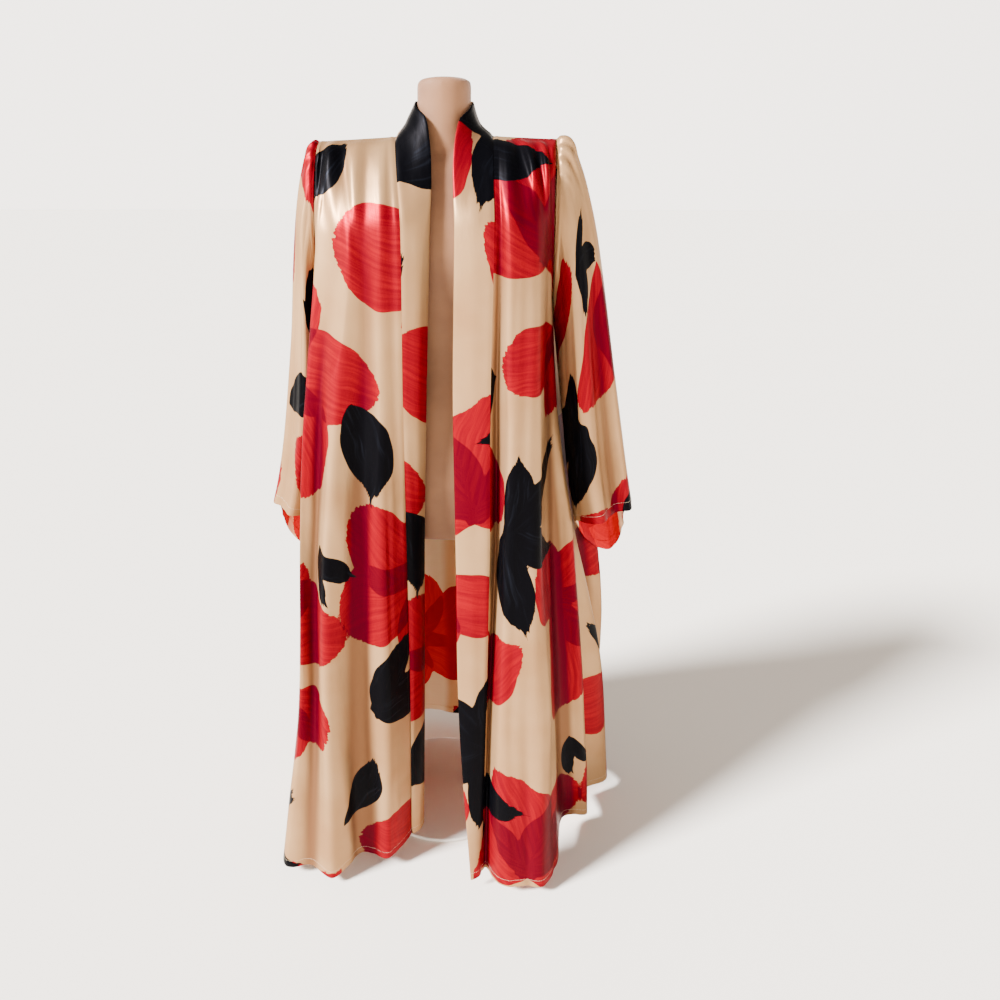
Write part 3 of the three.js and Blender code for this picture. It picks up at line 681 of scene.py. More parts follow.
def brush_strokes(clusters, seed):
    """The single strokes of each cluster, with a hand's unevenness."""
    rng = np.random.default_rng(seed)
    strokes = []
    for cluster in clusters:
        count = int(cluster["strokes"])
        for number in range(count):
            share = number / (count - 1) - 0.5 if count > 1 else 0
            turn = cluster["turn"] + cluster["spread"] * share
            sway = dict(zip(STROKE_SPREAD, rng.uniform(-1, 1, len(STROKE_SPREAD))))
            length = cluster["size"] * (1 + STROKE_SPREAD["length"] * sway["length"])
            strokes.append({
                "across": cluster["across"],
                "down": cluster["down"],
                "turn": math.radians(turn + STROKE_SPREAD["turn"] * sway["turn"]),
                "length": length,
                "half": length * cluster["full"] * (1 + STROKE_SPREAD["width"] * sway["width"]),
                "bend": length * STROKE_SPREAD["bend"] * sway["bend"],
                "tip": cluster["tip"],
            })
    return strokes


STROKE_START = 0.1  # strokes begin a little behind the middle of their cluster
STROKE_ROOT = 0.95  # how sharply a stroke narrows to its root; its tip has a value of its own


def stroke_field(across, down, stroke):
    """How far inside a stroke each point lies, in mm, and its places along and beside it."""
    x = wrapped(across - stroke["across"], REPEAT["across"])
    y = wrapped(down - stroke["down"], REPEAT["down"])
    cos, sin = math.cos(stroke["turn"]), math.sin(stroke["turn"])
    along = x * cos + y * sin + STROKE_START * stroke["length"]
    share = np.clip(along / stroke["length"], 0, 1)
    side = y * cos - x * sin - stroke["bend"] * np.sin(np.pi * share)
    root, tip = STROKE_ROOT, stroke["tip"]
    widest = (root / (root + tip)) ** root * (tip / (root + tip)) ** tip
    width = stroke["half"] * share**root * (1 - share) ** tip / widest
    inside = np.minimum(width - np.abs(side), np.minimum(along, stroke["length"] - along))
    return inside, along / stroke["length"], side


HAND_WAVER = {"size": 85, "sway": 13, "fine_size": 26, "fine_sway": 3.0}
SIDE_APART = 500  # keeps the bristle marks of neighbouring strokes unlike
SWAY_SEEDS, FINE_SEED_STEP = (3, 4), 7
BLOOM_SEED, SPRIG_SEED = 11, 12
FAR_OUTSIDE = -1e3


def print_fields(across, down, place):
    """For each colour, how far inside its strokes each point is, its places on the nearest
    stroke, and how far it is inside a second one that overlaps."""
    across = across + place["across"]
    down = down + place["down"]
    size, fine = HAND_WAVER["size"], HAND_WAVER["fine_size"]
    sway = [
        HAND_WAVER["sway"] * soft_noise(across / size, down / size, seed)
        + HAND_WAVER["fine_sway"] * soft_noise(across / fine, down / fine, seed + FINE_SEED_STEP)
        for seed in SWAY_SEEDS
    ]
    across, down = across + sway[0], down + sway[1]
    layers = []
    for clusters, seed in ((BLOOMS, BLOOM_SEED), (SPRIGS, SPRIG_SEED)):
        best = np.full(across.shape, FAR_OUTSIDE)
        second = best.copy()
        along = np.zeros(across.shape)
        side = np.zeros(across.shape)
        for number, stroke in enumerate(brush_strokes(clusters, seed)):
            inside, share, beside = stroke_field(across, down, stroke)
            nearer = inside > best
            second = np.maximum(second, np.minimum(inside, best))
            best = np.where(nearer, inside, best)
            along = np.where(nearer, share, along)
            side = np.where(nearer, beside + SIDE_APART * number, side)
        layers.append(np.stack([best * MM, along, side * MM, second * MM], axis=-1))
    return layers


# ---- cloth walls ----


def grid_faces(ids):
    return np.stack([ids[:-1, :-1], ids[:-1, 1:], ids[1:, 1:], ids[1:, :-1]], axis=-1).reshape(-1, 4)


def strip_faces(top, bottom):
    return np.stack([top[1:], top[:-1], bottom[:-1], bottom[1:]], axis=-1)


CREASE_ANGLE = math.radians(50)


def wall_mesh(name, outer, inner, closed, sign, layers):
    """A closed wall between an outer and an inner surface. layers gives values for each point."""
    rows, columns = outer.shape[:2]
    points = np.concatenate([outer.reshape(-1, 3), inner.reshape(-1, 3)])
    ids = np.arange(rows * columns).reshape(rows, columns)
    if closed:
        ids = np.concatenate([ids, ids[:, :1]], axis=1)
    places = np.arange(ids.size).reshape(ids.shape)
    below = rows * columns

    def rim(top_ids, top_places, flip):
        strip, where = strip_faces(top_ids, top_ids + below), strip_faces(top_places, top_places)
        return (strip[:, ::-1], where[:, ::-1]) if flip else (strip, where)

    parts = [
        (grid_faces(ids), grid_faces(places)),
        (grid_faces(ids)[:, ::-1] + below, grid_faces(places)[:, ::-1]),
        rim(ids[0], places[0], False),
        rim(ids[-1], places[-1], True),
    ]
    if not closed:
        parts += [rim(ids[:, 0], places[:, 0], True), rim(ids[:, -1], places[:, -1], False)]
    faces = np.concatenate([part[0] for part in parts])
    corners = np.concatenate([part[1] for part in parts])
    inside = np.zeros(len(faces), int)
    inside[len(parts[0][0]):len(parts[0][0]) * 2] = 1
    if sign < 0:
        faces, corners = faces[:, ::-1], corners[:, ::-1]
    mesh = bpy.data.meshes.new(name)
    mesh.vertices.add(len(points))
    mesh.vertices.foreach_set("co", points.ravel())
    mesh.loops.add(faces.size)
    mesh.loops.foreach_set("vertex_index", faces.ravel())
    mesh.polygons.add(len(faces))
    mesh.polygons.foreach_set("loop_start", np.arange(0, faces.size, 4))
    mesh.polygons.foreach_set("material_index", inside)
    mesh.update(calc_edges=True)
    flat = layers.pop("flat")
    mesh.uv_layers.new(name="cloth_flat").data.foreach_set("uv", flat.reshape(-1, 2)[corners.ravel()].ravel())
    for layer, values in layers.items():
        attribute = mesh.attributes.new(layer, "FLOAT_VECTOR", "CORNER")
        attribute.data.foreach_set("vector", values.reshape(-1, 3)[corners.ravel()].ravel())
    mesh.shade_smooth()
    mesh.set_sharp_from_angle(angle=CREASE_ANGLE)
    return placed(name, mesh)


DEPTH_WINDOW = 11  # columns to each side that a fold's depth is measured against
DEPTH_SCALE = 11 * MM


def fold_depth(grid, normals, closed):
    """How far each point stands above (+) or sinks below (-) the cloth beside it, from -1 to 1."""
    total = np.zeros_like(grid)
    columns = grid.shape[1]
    for step in range(-DEPTH_WINDOW, DEPTH_WINDOW + 1):
        at = np.arange(columns) + step
        total += grid[:, at % columns] if closed else grid[:, np.clip(at, 0, columns - 1)]
    mean = total / (2 * DEPTH_WINDOW + 1)
    return np.clip(((grid - mean) * normals).sum(axis=2) / DEPTH_SCALE, -1, 1)


def with_first(values):
    """Repeats the first column of a closed piece after its last one."""
    return np.concatenate([values, values[:, :1]], axis=1)


def cloth_piece(name, grid, sign, flat, relief, thick, place, closed=False, inner_extra=0.0):
    """One piece of the jacket from its middle surface, in metres, and its flat places, in mm."""
    normals = outward_normals(grid, sign, closed)
    grid = grid + normals * relief[..., None]
    normals = outward_normals(grid, sign, closed)
    # the fold depth is kept so that shade can be painted into the hollows of the folds
    depth = fold_depth(grid, normals, closed)
    if closed:
        depth = with_first(depth)
    crimson, black = print_fields(flat[..., 0], flat[..., 1], place)
    layers = {
        "flat": flat * MM,
        "print_and_fold_shade": np.stack([crimson[..., 0], black[..., 0], depth], axis=-1),
        "petal_brush": crimson[..., 1:],
        "leaf_brush": black[..., 1:],
    }
    half = np.full(relief.shape, thick / 2)
    outer = grid + normals * half[..., None]
    inner = grid - normals * (half + inner_extra)[..., None]
    return wall_mesh(name, outer, inner, closed, sign, layers), grid, outer, normals


def trim_edges(grid, edges):
    """Draws the named edges of a piece in by half the gap of a seam."""
    neighbours = {"top": (0, 1, 0), "bottom": (-1, -2, 0), "start": (0, 1, 1), "end": (-1, -2, 1)}
    for edge in edges:
        at, beside, axis = neighbours[edge]
        first, second = np.take(grid, at, axis=axis), np.take(grid, beside, axis=axis)
        inward = second - first
        inward /= np.linalg.norm(inward, axis=1, keepdims=True)
        if axis == 0:
            grid[at] = first + inward * SEAM_GAP / 2
        else:
            grid[:, at] = first + inward * SEAM_GAP / 2


def make_panel(name, folds, facing, sign, creases, place, origin_fold):
    """A front or the back, from its table of folds; its print is laid from the origin fold."""
    grid, across, runs = panel_surface(folds, facing)
    down = np.repeat(runs[:, None], len(across), axis=1)
    along = distance_along(grid, 1) / MM
    home = np.argmin(np.abs(across - origin_fold))
    from_home = along - along[:, home:home + 1]
    spacing = np.gradient(along, axis=1) / np.gradient(across)[None]
    far_side = along[:, -1:] - along
    inward = smooth_step(np.minimum(along, far_side) / EDGE_EASE)
    seed = int(place["across"])
    relief = crease_relief(creases, np.repeat(across[None], len(runs), axis=0), down, spacing)
    relief += drape_relief(from_home, down, seed)
    relief *= inward * smooth_step(down / EDGE_EASE)
    relief += hem_pucker(from_home, HEM_RUN - down, seed) * inward
    relief += seam_relief(along) + seam_relief(far_side)
    on_shoulder = np.abs(grid[0, :, 0]) / MM > NECK_POINT
    relief += np.where(on_shoulder[None], seam_relief(down), 0)
    hem = np.where(down >= HEM_RUN - HEM_TURNING, HEM_INSIDE, 0.0)
    trim_edges(grid, ["top", "start", "end"])
    flat = np.stack([from_home * np.sign(grid[0, -1, 0] - grid[0, 0, 0]), down], axis=-1)
    piece, surface, outer, normals = cloth_piece(
        name, grid, sign, flat, relief, SATIN_THICK, place, inner_extra=hem
    )
    line = len(runs) - 1 - STITCH_ROW
    return {"piece": piece, "hem": outer[line], "hem_normals": normals[line], "cut": cut_of(surface, along, runs)}


def cut_of(surface, along, down):
    """Width, length and area of the flat cut, in metres: cloth keeps its area when it hangs."""
    falling = surface[1:, 1:] - surface[:-1, :-1]
    rising = surface[:-1, 1:] - surface[1:, :-1]
    area = np.linalg.norm(np.cross(rising, falling), axis=2).sum() / 2
    return along[:, -1].max() * MM, np.ptp(down) * MM, area


# ---- the band ----

BAND_SHARES = np.array([
    0.0, 0.02, 0.05, 0.1, 0.17, 0.25, 0.34, 0.43, 0.52, 0.61, 0.7, 0.79, 0.87, 0.93, 0.965, 0.985, 0.996, 1.0
])
NECK_ROWS = 46
BAND_COUNT = 4  # the crease table counts the band's width in quarters
BAND_RELIEF = {"drape": 0.5, "seam": 0.8}  # the double band is stiffer than a single layer
BAND_ROLL = 0.12  # least share of the band's thickness, at its rolled edge


def make_band(name, folds, edge_table, sign, creases, place):
    """Half of the neckband, from the hem up the front edge and round to the centre back."""
    runs = panel_runs()[::-1]
    seam_front = fold_curve(folds[0], -1, runs)
    side = np.sign(folds[0]["shoulder"])
    turn = np.linspace(0, np.pi / 2, NECK_ROWS)[1:]
    seam_back = back_neckline(side * NECK_POINT * np.cos(turn))
    edges = column(edge_table, "x", "y", "z")
    knots = column(edge_table, "run")
    edge_front = curve_through(knots, edges, runs)
    shoulder = edges[0]
    edge_back = np.stack([
        shoulder[0] * np.cos(turn),
        shoulder[1] + (BACK_BAND["edge_y"] - shoulder[1]) * np.sin(turn),
        shoulder[2] + (BACK_BAND["edge_z"] - shoulder[2]) * np.sin(turn),
    ], axis=1)
    bow_front = curve_through(knots, column(edge_table, "bow")[:, None], runs)[:, 0]
    bow_back = edge_table[0]["bow"] + (BACK_BAND["bow"] - edge_table[0]["bow"]) * turn / (np.pi / 2)
    seam = np.concatenate([seam_front, seam_back])
    edge = np.concatenate([edge_front, edge_back])
    bow = np.concatenate([bow_front, bow_back])
    shares = BAND_SHARES
    grid = seam[:, None] * (1 - shares)[None, :, None] + edge[:, None] * shares[None, :, None]
    normals = outward_normals(grid, -side, False)
    normals[-1, :, 0] = 0
    normals[-1] /= np.linalg.norm(normals[-1], axis=1, keepdims=True)
    grid = (grid - normals * (bow[:, None] * np.sin(np.pi * shares))[..., None]) * MM
    along_seam = distance_along(grid, 0)[:, :1] / MM
    width = distance_along(grid, 1) / MM
    down = along_seam.max() - np.repeat(along_seam, len(shares), axis=1)
    across = np.repeat((shares * BAND_COUNT)[None], len(grid), axis=0)
    relief = crease_relief(creases, across, down, width[:, -1:] / BAND_COUNT)
    relief += drape_relief(width, down, int(place["across"])) * BAND_RELIEF["drape"]
    relief *= np.sin(np.pi * shares)[None]
    relief += seam_relief(width) * BAND_RELIEF["seam"]
    rounding = np.sqrt(np.clip((width[:, -1:] - width) / (BAND_THICK / MM), 0, 1))
    thick = BAND_THICK * np.clip(rounding, BAND_ROLL, 1)
    trim_edges(grid, ["start", "bottom"])
    flat = np.stack([width, down], axis=-1)
    piece, surface, outer, normals = cloth_piece(name, grid, sign, flat, relief, thick, place)
    sewn = slice(1, -4)  # the stitches stop short of the seam and of the rolled edge
    return {
        "piece": piece,
        "hem": outer[STITCH_ROW, sewn],
        "hem_normals": normals[STITCH_ROW, sewn],
        "cut": cut_of(surface, width, along_seam),
    }


# ---- the sleeves ----

SLEEVE_ROWS = 118
SLEEVE_TOP_SHARES = [0.0, 0.0018, 0.0042, 0.0075, 0.012]
HEAD_ANGLES = (-48, 60, 1.5)  # close columns over the pleated head, in degrees
REST_ANGLES = 84


def sleeve_angles():
    start, stop, step = HEAD_ANGLES
    head = np.arange(start, stop, step)
    return np.concatenate([head, np.linspace(stop, start + 360, REST_ANGLES, endpoint=False)])


def cuff_places(cuff, angles):
    at = column(cuff, "at")
    points = column(cuff, "x", "y", "z")
    laps = [at + 360 * lap for lap in (-1, 0, 1)]
    return curve_through(np.concatenate(laps), np.concatenate([points] * 3), angles)


def pleat_relief(angles):
    total = np.zeros(angles.shape)
    for pleat in HEAD_PLEATS:
        away = (angles - pleat["at"]) / (pleat["width"] / 2)
        total += pleat["depth"] * np.exp(-away * away)
    return total


def sleeve_shares(length):
    hem = [1 - above / length for above in HEM_ROWS]
    middle = np.linspace(SLEEVE_TOP_SHARES[-1], hem[0], SLEEVE_ROWS)
    return np.concatenate([SLEEVE_TOP_SHARES[:-1], middle, hem[1:]])


MEAN_SLEEVE = 640  # usual length of a sleeve from its seam to the cuff
PER_MILLE = 1000
CLOSING_EASE = 30  # the drape fades out over this distance, where a sleeve's columns close up
PLEAT_OPENS, PUFF_OPENS = 0.03, 0.05  # shares of the sleeve over which pleats and puff grow


def make_sleeve(name, side, cuff, sign, creases, place):
    """A wide sleeve: each line leaves the armhole outwards and turns down to the cuff."""
    angles = sleeve_angles()
    shares = sleeve_shares(MEAN_SLEEVE)
    turn = np.radians(angles)
    low = (1 - np.cos(turn)) / 2
    facing = np.where(np.sin(turn) > 0, -1, 1)
    start = armhole(side, facing, np.arccos(np.cos(turn)))
    offset = SLEEVE_OFFSET["top"] + (SLEEVE_OFFSET["underarm"] - SLEEVE_OFFSET["top"]) * np.sqrt(low)
    start[:, 0] += side * offset
    end = cuff_places(cuff, angles)
    reach = np.linalg.norm(end - start, axis=1) * CUFF_PULL
    fall = SLEEVE_FALL[hand(side)]
    zero = np.zeros(angles.shape)
    out = fall["out"] + (UNDERARM_FALL["out"] - fall["out"]) * low
    leave = np.stack([side * out, zero, -UNDERARM_FALL["down"] * low], axis=1)
    arrive = np.stack([side * fall["lean"] * reach, zero, -reach], axis=1)
    share = shares[:, None, None]
    grid = hermite(start[None], leave[None], end[None], arrive[None], share)
    pleats = pleat_relief(angles)[None] * np.exp(-((shares / PLEAT_FADE) ** 2))[:, None]
    pleats *= PLEAT_AT_SEAM + (1 - PLEAT_AT_SEAM) * smooth_step(shares / PLEAT_OPENS)[:, None]
    pleats *= PLEAT_SHARE[hand(side)]
    swell = np.exp(-(((shares - HEAD_PUFF["at"]) / HEAD_PUFF["length"]) ** 2)) * smooth_step(shares / PUFF_OPENS)
    pleats += HEAD_PUFF[hand(side)] * swell[:, None] * (1 - low)[None] ** HEAD_PUFF["narrows"]
    grid = (grid + outward_normals(grid, sign, True) * pleats[..., None]) * MM
    round_it = distance_along(with_first(grid), 1) / MM
    reach_down = distance_along(grid, 0) / MM
    down = np.repeat(shares[:, None] * PER_MILLE, len(angles), axis=1)
    wide = np.repeat(angles[None], len(shares), axis=0)
    spacing = np.gradient(round_it[:, :-1], axis=1) / np.gradient(angles)[None]
    relief = crease_relief(creases, wide, down, spacing)
    around = round_it[:, :-1]
    blend = smooth_step(np.minimum(around, round_it[:, -1:] - around) / CLOSING_EASE)
    seed = int(place["across"])
    relief += drape_relief(around, reach_down, seed) * blend
    relief *= smooth_step(reach_down / EDGE_EASE)
    relief += hem_pucker(around, reach_down[-1:] - reach_down, seed) * blend
    relief += seam_relief(reach_down)
    hem = np.where(np.arange(len(shares)) >= len(shares) - len(HEM_ROWS) + 1, HEM_INSIDE, 0.0)
    mean_down = with_first(reach_down).mean(axis=1)[:, None] * np.ones(round_it.shape)
    flat = np.stack([round_it, mean_down], axis=-1)
    piece, surface, outer, normals = cloth_piece(
        name, grid, sign, flat, relief, SATIN_THICK, place, closed=True, inner_extra=hem[:, None]
    )
    line = len(shares) - 1 - STITCH_ROW
    return {
        "piece": piece,
        "hem": with_first(outer)[line],
        "hem_normals": with_first(normals)[line],
        "cut": cut_of(with_first(surface), round_it, mean_down),
    }


# ---- stitching ----

STITCH = {
    "Stitch pitch": 3.4 * MM, "Stitch length": 2.6 * MM, "Thread width": 0.55 * MM, "Thread height": 0.35 * MM,
}
THREAD_LIFT = 0.2  # share of the thread's height that its middle lies above the cloth
BEAD = {"Segments": 6, "Rings": 4, "Radius": 0.5}  # a stitch, before it is drawn out to size


def stitch_tree(thread):
    """Nodes that lay one thread stitch after another along a line, and their sizes by socket."""
    tree = bpy.data.node_groups.new("hem_stitching", "GeometryNodeTree")
    tree.is_modifier = True
    tree.interface.new_socket(name="Seam line", in_out="INPUT", socket_type="NodeSocketGeometry")
    sizes = {}
    for name, value in STITCH.items():
        socket = tree.interface.new_socket(name=name, in_out="INPUT", socket_type="NodeSocketFloat")
        sizes[socket.identifier] = value
    tree.interface.new_socket(name="Stitches", in_out="OUTPUT", socket_type="NodeSocketGeometry")
    sew = Finish(tree)
    given = sew.node("NodeGroupInput")
    line = sew.node("GeometryNodeMeshToCurve", {"Mesh": given["Seam line"]})
    places = sew.node(
        "GeometryNodeResampleCurve", {"Curve": line["Curve"], "Length": given["Stitch pitch"]}, mode="LENGTH"
    )
    out = sew.node("GeometryNodeInputNamedAttribute", {"Name": "cloth_out"}, data_type="FLOAT_VECTOR")
    kept = sew.nodes.new("GeometryNodeCaptureAttribute")
    kept.domain = "POINT"
    kept.capture_items.new("VECTOR", "cloth_out")
    sew.put(kept.inputs["Geometry"], places["Curve"])
    sew.put(kept.inputs[1], out["Attribute"])
    tangent = sew.node("GeometryNodeInputTangent")
    along = sew.node("FunctionNodeAlignEulerToVector", {"Vector": tangent["Tangent"]}, axis="X")
    upright = sew.node(
        "FunctionNodeAlignEulerToVector", {"Rotation": along["Rotation"], "Vector": kept.outputs[1]},
        axis="Z", pivot_axis="X",
    )
    bead = sew.node("GeometryNodeMeshUVSphere", BEAD)
    size = sew.node("ShaderNodeCombineXYZ", {
        "X": given["Stitch length"], "Y": given["Thread width"], "Z": given["Thread height"],
    })
    laid = sew.node("GeometryNodeInstanceOnPoints", {
        "Points": kept.outputs["Geometry"], "Instance": bead["Mesh"],
        "Rotation": upright["Rotation"], "Scale": size["Vector"],
    })
    real = sew.node("GeometryNodeRealizeInstances", {"Geometry": laid["Instances"]})
    finished = sew.node("GeometryNodeSetMaterial", {"Geometry": real["Geometry"], "Material": thread})
    sew.node("NodeGroupOutput", {"Stitches": finished["Geometry"]})
    return tree, sizes


def line_object(name, points, normals):
    lifted = points + normals * STITCH["Thread height"] * THREAD_LIFT
    line = shaped(name, [tuple(p) for p in lifted], [], [(i, i + 1) for i in range(len(points) - 1)])
    out = line.data.attributes.new("cloth_out", "FLOAT_VECTOR", "POINT")
    out.data.foreach_set("vector", np.ascontiguousarray(normals).ravel())
    return line


def made_mesh(piece):
    """Turns what a piece's modifiers make into its own plain mesh."""
    graph = bpy.context.evaluated_depsgraph_get()
    mesh = bpy.data.meshes.new_from_object(piece.evaluated_get(graph))
    piece.modifiers.clear()
    piece.data = mesh
    return piece


def stitch_row(name, made, tree, sizes):
    row = line_object(name, made["hem"], made["hem_normals"])
    modifier = row.modifiers.new("stitching", "NODES")
    modifier.node_group = tree
    for socket, value in sizes.items():
        modifier[socket] = value
    return made_mesh(row)


# ---- the dress form and its stand ----

TORSO_SECTIONS = table(
    "place             z half front back square",
    "underside       702  120   -78   82    2.2",
    "lower rim       708  148  -100  100    2.2",
    "thigh           740  160  -108  110    2.2",
    "hip             850  163  -108  112    2.2",
    "high hip        950  142   -94  100    2.2",
    "waist          1040  122   -82   86    2.2",
    "rib            1130  136   -88   90    2.2",
    "breast         1220  152   -94   98    2.3",
    "chest          1280  164   -87  100    2.4",
    "upper chest    1340  182   -72   90    2.6",
    "yoke           1378  190   -58   76    2.7",
    "shoulder       1403  190   -40   56    2.6",
    "shoulder top   1416  182   -23   36    2.4",
    "ridge        1421.3  164    -8   19    2.2",
    "ridge top    1423.7  138     0   12    2.0",
)
NECK_SECTIONS = table(
    "place         z half front back square",
    "foot       1380   66   -48   62    2.0",
    "root       1412   56   -43   55    2.0",
    "slope      1426   50   -41   52    2.0",
    "lower neck 1446   47   -40   51    2.0",
    "middle     1480   46   -40   50    2.0",
    "upper neck 1506   46   -40   50    2.0",
    "top rim    1512 44.5 -38.5 48.5    2.0",
    "top edge   1514   41   -35   45    2.0",
)
FORM_SIDES = 96
FORM_STEP = 6  # height between the rings of the form, in mm
FORM_VOXEL = 5 * MM
FORM_EASE = {"factor": 0.5, "iterations": 14}
FORM_RINGS = 8  # at least so many rings of points in each of its two bodies


def ring_faces(first, rings, sides, joined=False):
    """Faces from each ring of points to the next, and back to the first ring where it is joined."""
    faces = []
    for ring in range(rings if joined else rings - 1):
        low, high = first + ring * sides, first + (ring + 1) % rings * sides
        for i in range(sides):
            j = (i + 1) % sides
            faces.append((low + i, low + j, high + j, high + i))
    return faces


def form_rings(sections):
    heights = column(sections, "z")
    count = max(int((heights[-1] - heights[0]) / FORM_STEP), FORM_RINGS)
    fine = np.unique(np.concatenate([heights, np.linspace(heights[0], heights[-1], count)]))
    half, front, back, square = curve_through(
        heights, column(sections, "half", "front", "back", "square"), fine
    ).T
    turn = 2 * np.pi * np.arange(FORM_SIDES) / FORM_SIDES
    power = (2 / square)[:, None]
    x = half[:, None] * np.sign(np.cos(turn)) * np.abs(np.cos(turn)) ** power
    depth = ((back - front) / 2)[:, None]
    y = ((front + back) / 2)[:, None] + depth * np.sign(np.sin(turn)) * np.abs(np.sin(turn)) ** power
    return np.stack([x, y, np.repeat(fine[:, None], FORM_SIDES, axis=1)], axis=2) * MM


def form_shell(sections, points, faces):
    """Adds a closed body through rings of points, with a flat cap at each end."""
    rings = form_rings(sections)
    first = len(points)
    points += [tuple(p) for p in rings.reshape(-1, 3)]
    last = first + (len(rings) - 1) * FORM_SIDES
    faces += ring_faces(first, len(rings), FORM_SIDES)
    faces.append(tuple(first + i for i in reversed(range(FORM_SIDES))))
    faces.append(tuple(last + i for i in range(FORM_SIDES)))


def make_form(name, cover):
    """The limbless form: torso and neck in one smooth skin."""
    points, faces = [], []
    form_shell(TORSO_SECTIONS, points, faces)
    form_shell(NECK_SECTIONS, points, faces)
    form = shaped(name, points, faces)
    skin = form.modifiers.new("one_skin", "REMESH")
    skin.mode = "VOXEL"
    skin.voxel_size = FORM_VOXEL
    ease = form.modifiers.new("ease", "SMOOTH")
    ease.factor = FORM_EASE["factor"]
    ease.iterations = FORM_EASE["iterations"]
    made_mesh(form)
    form.data.shade_smooth()
    form.data.materials.clear()
    form.data.materials.append(cover)
    return form


ROUND_SIDES = 96
EDGE_ANGLE = math.radians(35)  # a turned piece's edges are sharp past this
WELD_GAP = 0.01 * MM
BASE_PROFILE = [(0, 0), (168.5, 0), (170, 1.5), (170, 5.6), (169.3, 7.0), (168, 7.8), (166.5, 8), (0, 8)]
POLE = {"x": 82, "y": 20, "radius": 12.5, "foot": 8.3, "top": 701.7}
COLLAR_PROFILE = [(12.6, 8.1), (24, 8.1), (24, 12), (22.6, 14.2), (16.4, 16), (14.4, 26), (13.6, 28), (12.6, 28)]


def turned(name, profile, centre, material, open_middle=False):
    """A round piece turned from a profile of radius and height."""
    points = []
    for radius, height in profile:
        for i in range(ROUND_SIDES):
            turn = 2 * math.pi * i / ROUND_SIDES
            x, y = centre[0] + radius * math.cos(turn), centre[1] + radius * math.sin(turn)
            points.append((x * MM, y * MM, height * MM))
    shape = shaped(name, points, ring_faces(0, len(profile), ROUND_SIDES, open_middle))
    weld = shape.modifiers.new("weld", "WELD")
    weld.merge_threshold = WELD_GAP
    made_mesh(shape)
    shape.data.shade_smooth()
    shape.data.set_sharp_from_angle(angle=EDGE_ANGLE)
    shape.data.materials.append(material)
    return shape


# ---- finishes ----


class Finish:
    """Short names for building the nodes of a material, of the room or of the stitching."""

    def __init__(self, tree):
        self.nodes = tree.nodes
        self.links = tree.links

    def put(self, socket, value):
        if hasattr(value, "is_output"):
            self.links.new(value, socket)
        else:
            socket.default_value = value

    def node(self, kind, inputs=(), **settings):
        """A new node with its settings and inputs given; returns its outputs."""
        node = self.nodes.new(kind)
        for name, value in settings.items():
            setattr(node, name, value)
        for name, value in dict(inputs).items():
            self.put(node.inputs[name], value)
        return node.outputs

    def math(self, operation, *values):
        return self.node("ShaderNodeMath", enumerate(values), operation=operation)["Value"]

    def ramp(self, value, low, high, to_low=0.0, to_high=1.0, course="SMOOTHSTEP"):
        ends = {"Value": value, "From Min": low, "From Max": high, "To Min": to_low, "To Max": to_high}
        return self.node("ShaderNodeMapRange", ends, interpolation_type=course)["Result"]

    def mix(self, share, first, second):
        return self.node("ShaderNodeMix", {"Factor": share, "A": first, "B": second}, data_type="RGBA")["Result"]

    def apart(self, vector):
        return self.node("ShaderNodeSeparateXYZ", {"Vector": vector})

    def attribute(self, name):
        return self.apart(self.node("ShaderNodeAttribute", attribute_name=name)["Vector"])

    def noise(self, vector, scale, detail=2.0, roughness=0.5):
        texture = {"Vector": vector, "Scale": scale, "Detail": detail, "Roughness": roughness}
        return self.node("ShaderNodeTexNoise", texture)["Fac"]

    def flat_cloth(self):
        return self.node("ShaderNodeUVMap", uv_map="cloth_flat")["UV"]

    def place(self, kind="Object"):
        return self.node("ShaderNodeTexCoord")[kind]

    def stretched(self, vector, scale):
        return self.node("ShaderNodeMapping", {"Vector": vector, "Scale": scale})["Vector"]

    def bump(self, height, distance, strength, **under):
        relief = {"Height": height, "Distance": distance, "Strength": strength, **under}
        return self.node("ShaderNodeBump", relief)["Normal"]

    def surface(self, looks):
        shader = self.node("ShaderNodeBsdfPrincipled", looks)
        self.node("ShaderNodeOutputMaterial", {"Surface": shader["BSDF"]})


def new_material(name):
    """An empty material, and the short names for building it."""
    material = bpy.data.materials.new(name)
    material.use_nodes = True
    material.node_tree.nodes.clear()
    return material, Finish(material.node_tree)


def colour(red, green, blue):
    """A linear colour from the 0 to 255 values of a swatch."""
    def linear(value):
        value /= 255
        return value / 12.92 if value <= 0.04045 else ((value + 0.055) / 1.055) ** 2.4
    return (linear(red), linear(green), linear(blue), 1.0)


# fair and worn are the cream's own two tones. The fold colour is painted shade for the hollows of folds. dark is
# both the printed overlap of petals and painted shade in folds.
FACE_COLOURS = {
    "fair": colour(166, 129, 90), "worn": colour(152, 113, 76), "fold_shade": colour(112, 76, 50),
    "bright": colour(138, 0, 18), "full": colour(110, 0, 18), "dark": colour(62, 0, 18),
    "ink": colour(6, 6, 9), "dry": colour(24, 27, 35),
}
# The reverse is painted about twice as light as the face: painted light that stands in for light coming through
# the thin satin onto the inside of the jacket.
REVERSE_COLOURS_PAINTED_LIGHT = {
    "fair": colour(242, 213, 171), "worn": colour(235, 202, 155), "fold_shade": colour(206, 154, 104),
    "bright": colour(208, 5, 21), "full": colour(188, 4, 23), "dark": colour(140, 2, 25),
    "ink": colour(9, 9, 13), "dry": colour(28, 30, 38),
}

